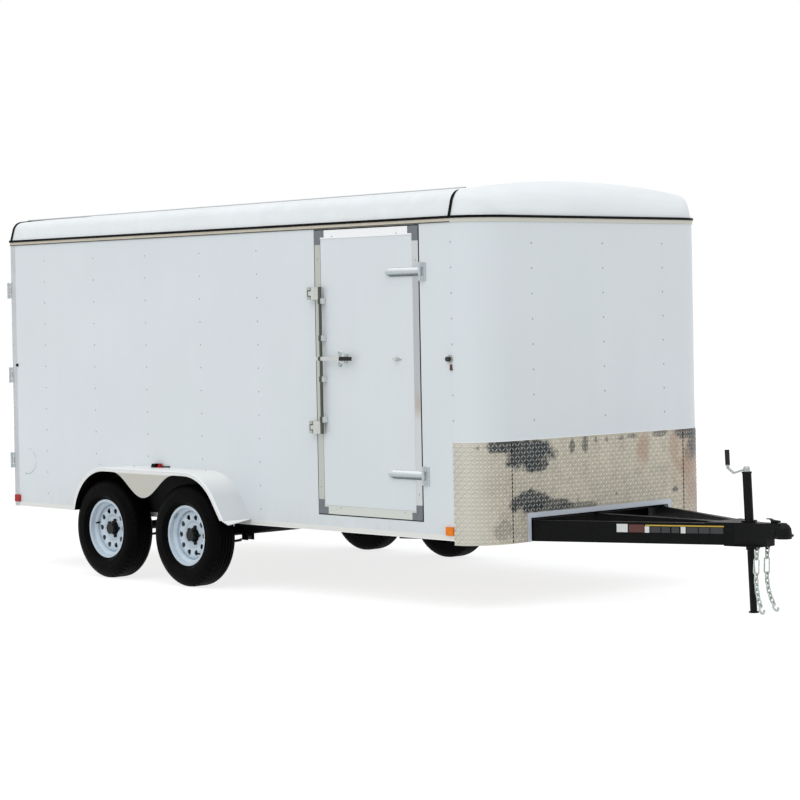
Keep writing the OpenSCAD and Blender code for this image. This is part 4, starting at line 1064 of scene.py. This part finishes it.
def fender_leads(mats):
    """Black base and lead of each fender's lamp, and the screws along the fender's top."""
    lead = Part()
    for side in (-1, 1):
        lead.prism([(x, side * (HW + 6), FENDER_TOP + up) for x, up in LAMP_BASE], (0, side * 32, 0))
        lead.tube([(x, side * (HW + out), FENDER_TOP + up) for x, out, up in LEAD], 4)
        for x in FENDER_SCREWS:
            lead.head((x, side * (HW + 22), FENDER_TOP), (0, 0, 1), 5)
    lead.piece("fender_leads", mats["seal_black"], "seal_black")


def wall_scuff(mats):
    """Worn curve on the right wall behind the fender, as short arcs that differ in width."""
    wear = Part()
    (xc, zc), (rx, rz) = SCUFF_AT, SCUFF_RADII
    turns = [math.radians(-104 + 15 * i) for i in range(13)]
    for i, (a, b) in enumerate(zip(turns, turns[1:])):
        w = (0.06, 0.03, 0.05)[i % 3] + (0.05 if i < 5 else 0.0)
        if i not in (7, 10):
            wear.prism([(xc + r * rx * math.cos(t), -HW - 0.2, zc + r * rz * math.sin(t))
                        for r, t in ((1, a), (1, b), (1 - w, b), (1 - w, a))], (0, -0.3, 0))
    wear.piece("wall_scuff", mats["seam_grey"], "skin_white")


# Fine pieces: tongue and roof

# Blank plates on the right tongue beam: material, x range and z range
LABELS = [("label_white", 5366, 5427, 466, 515), ("label_brown", 5434, 5519, 466, 513),
          ("label_yellow", 5526, 5959, 505, 513), ("label_white", 5523, 5548, 465, 503),
          ("label_grey", 5553, 5610, 466, 501), ("label_grey", 5616, 5664, 466, 501),
          ("label_grey", 5672, 5714, 466, 501), ("label_white", 5723, 5749, 465, 503),
          ("label_grey", 5755, 5816, 466, 501), ("label_grey", 5822, 5880, 466, 501),
          ("label_grey", 5886, 5955, 466, 501)]
LABEL_T = 0.7
ROOF_SEAM_Y, ROOF_SEAM = 905, ((4, 2530), (1500, 2537), (3000, 2545), (XC - 24, 2554))


def beam_face(x):
    """Outer face of the right tongue beam."""
    return -(TONGUE_Y0 - (x - BODY_L) * TONGUE_SLOPE + BEAM_HALF)


def tongue_labels(mats):
    """Blank plates on the outer face of the right tongue beam."""
    out = Vector((-TONGUE_SLOPE, -1, 0)).normalized() * LABEL_T
    for i, (name, x0, x1, z0, z1) in enumerate(LABELS):
        part = Part()
        part.prism([(x, beam_face(x), z) for x, z in ((x0, z0), (x1, z0), (x1, z1), (x0, z1))], out)
        part.piece(f"{name}_{i}", mats[name], "frame_black")


def roof_seams(mats):
    """Folded seam along each side of the roof."""
    part = Part()
    for side in (-1, 1):
        part.tube([(x, side * ROOF_SEAM_Y, z) for x, z in ROOF_SEAM], 4)
    part.piece("roof_seams", mats["seam_grey"], "roof_white")


def main():
    """Build the scene."""
    bpy.context.scene.view_settings.view_transform = "Standard"
    make_camera()
    make_world()
    make_floor()
    make_sun()
    mats = make_materials()
    finish_nodes(mats)
    for details in (wall_screws, door_buffers, guard_tread, guard_seams, guard_bead, lock_details,
                    side_door_details):
        details(mats)
    for side, name in ((-1, "right"), (1, "left")):
        rear_door_details(mats, side, name)
    for name in VALVE_AT:
        tyre_skin(name, mats)
        wheel_details(name, mats)
    for details in (wheel_wells, fender_leads, wall_scuff, tongue_labels, roof_seams):
        details(mats)


main()
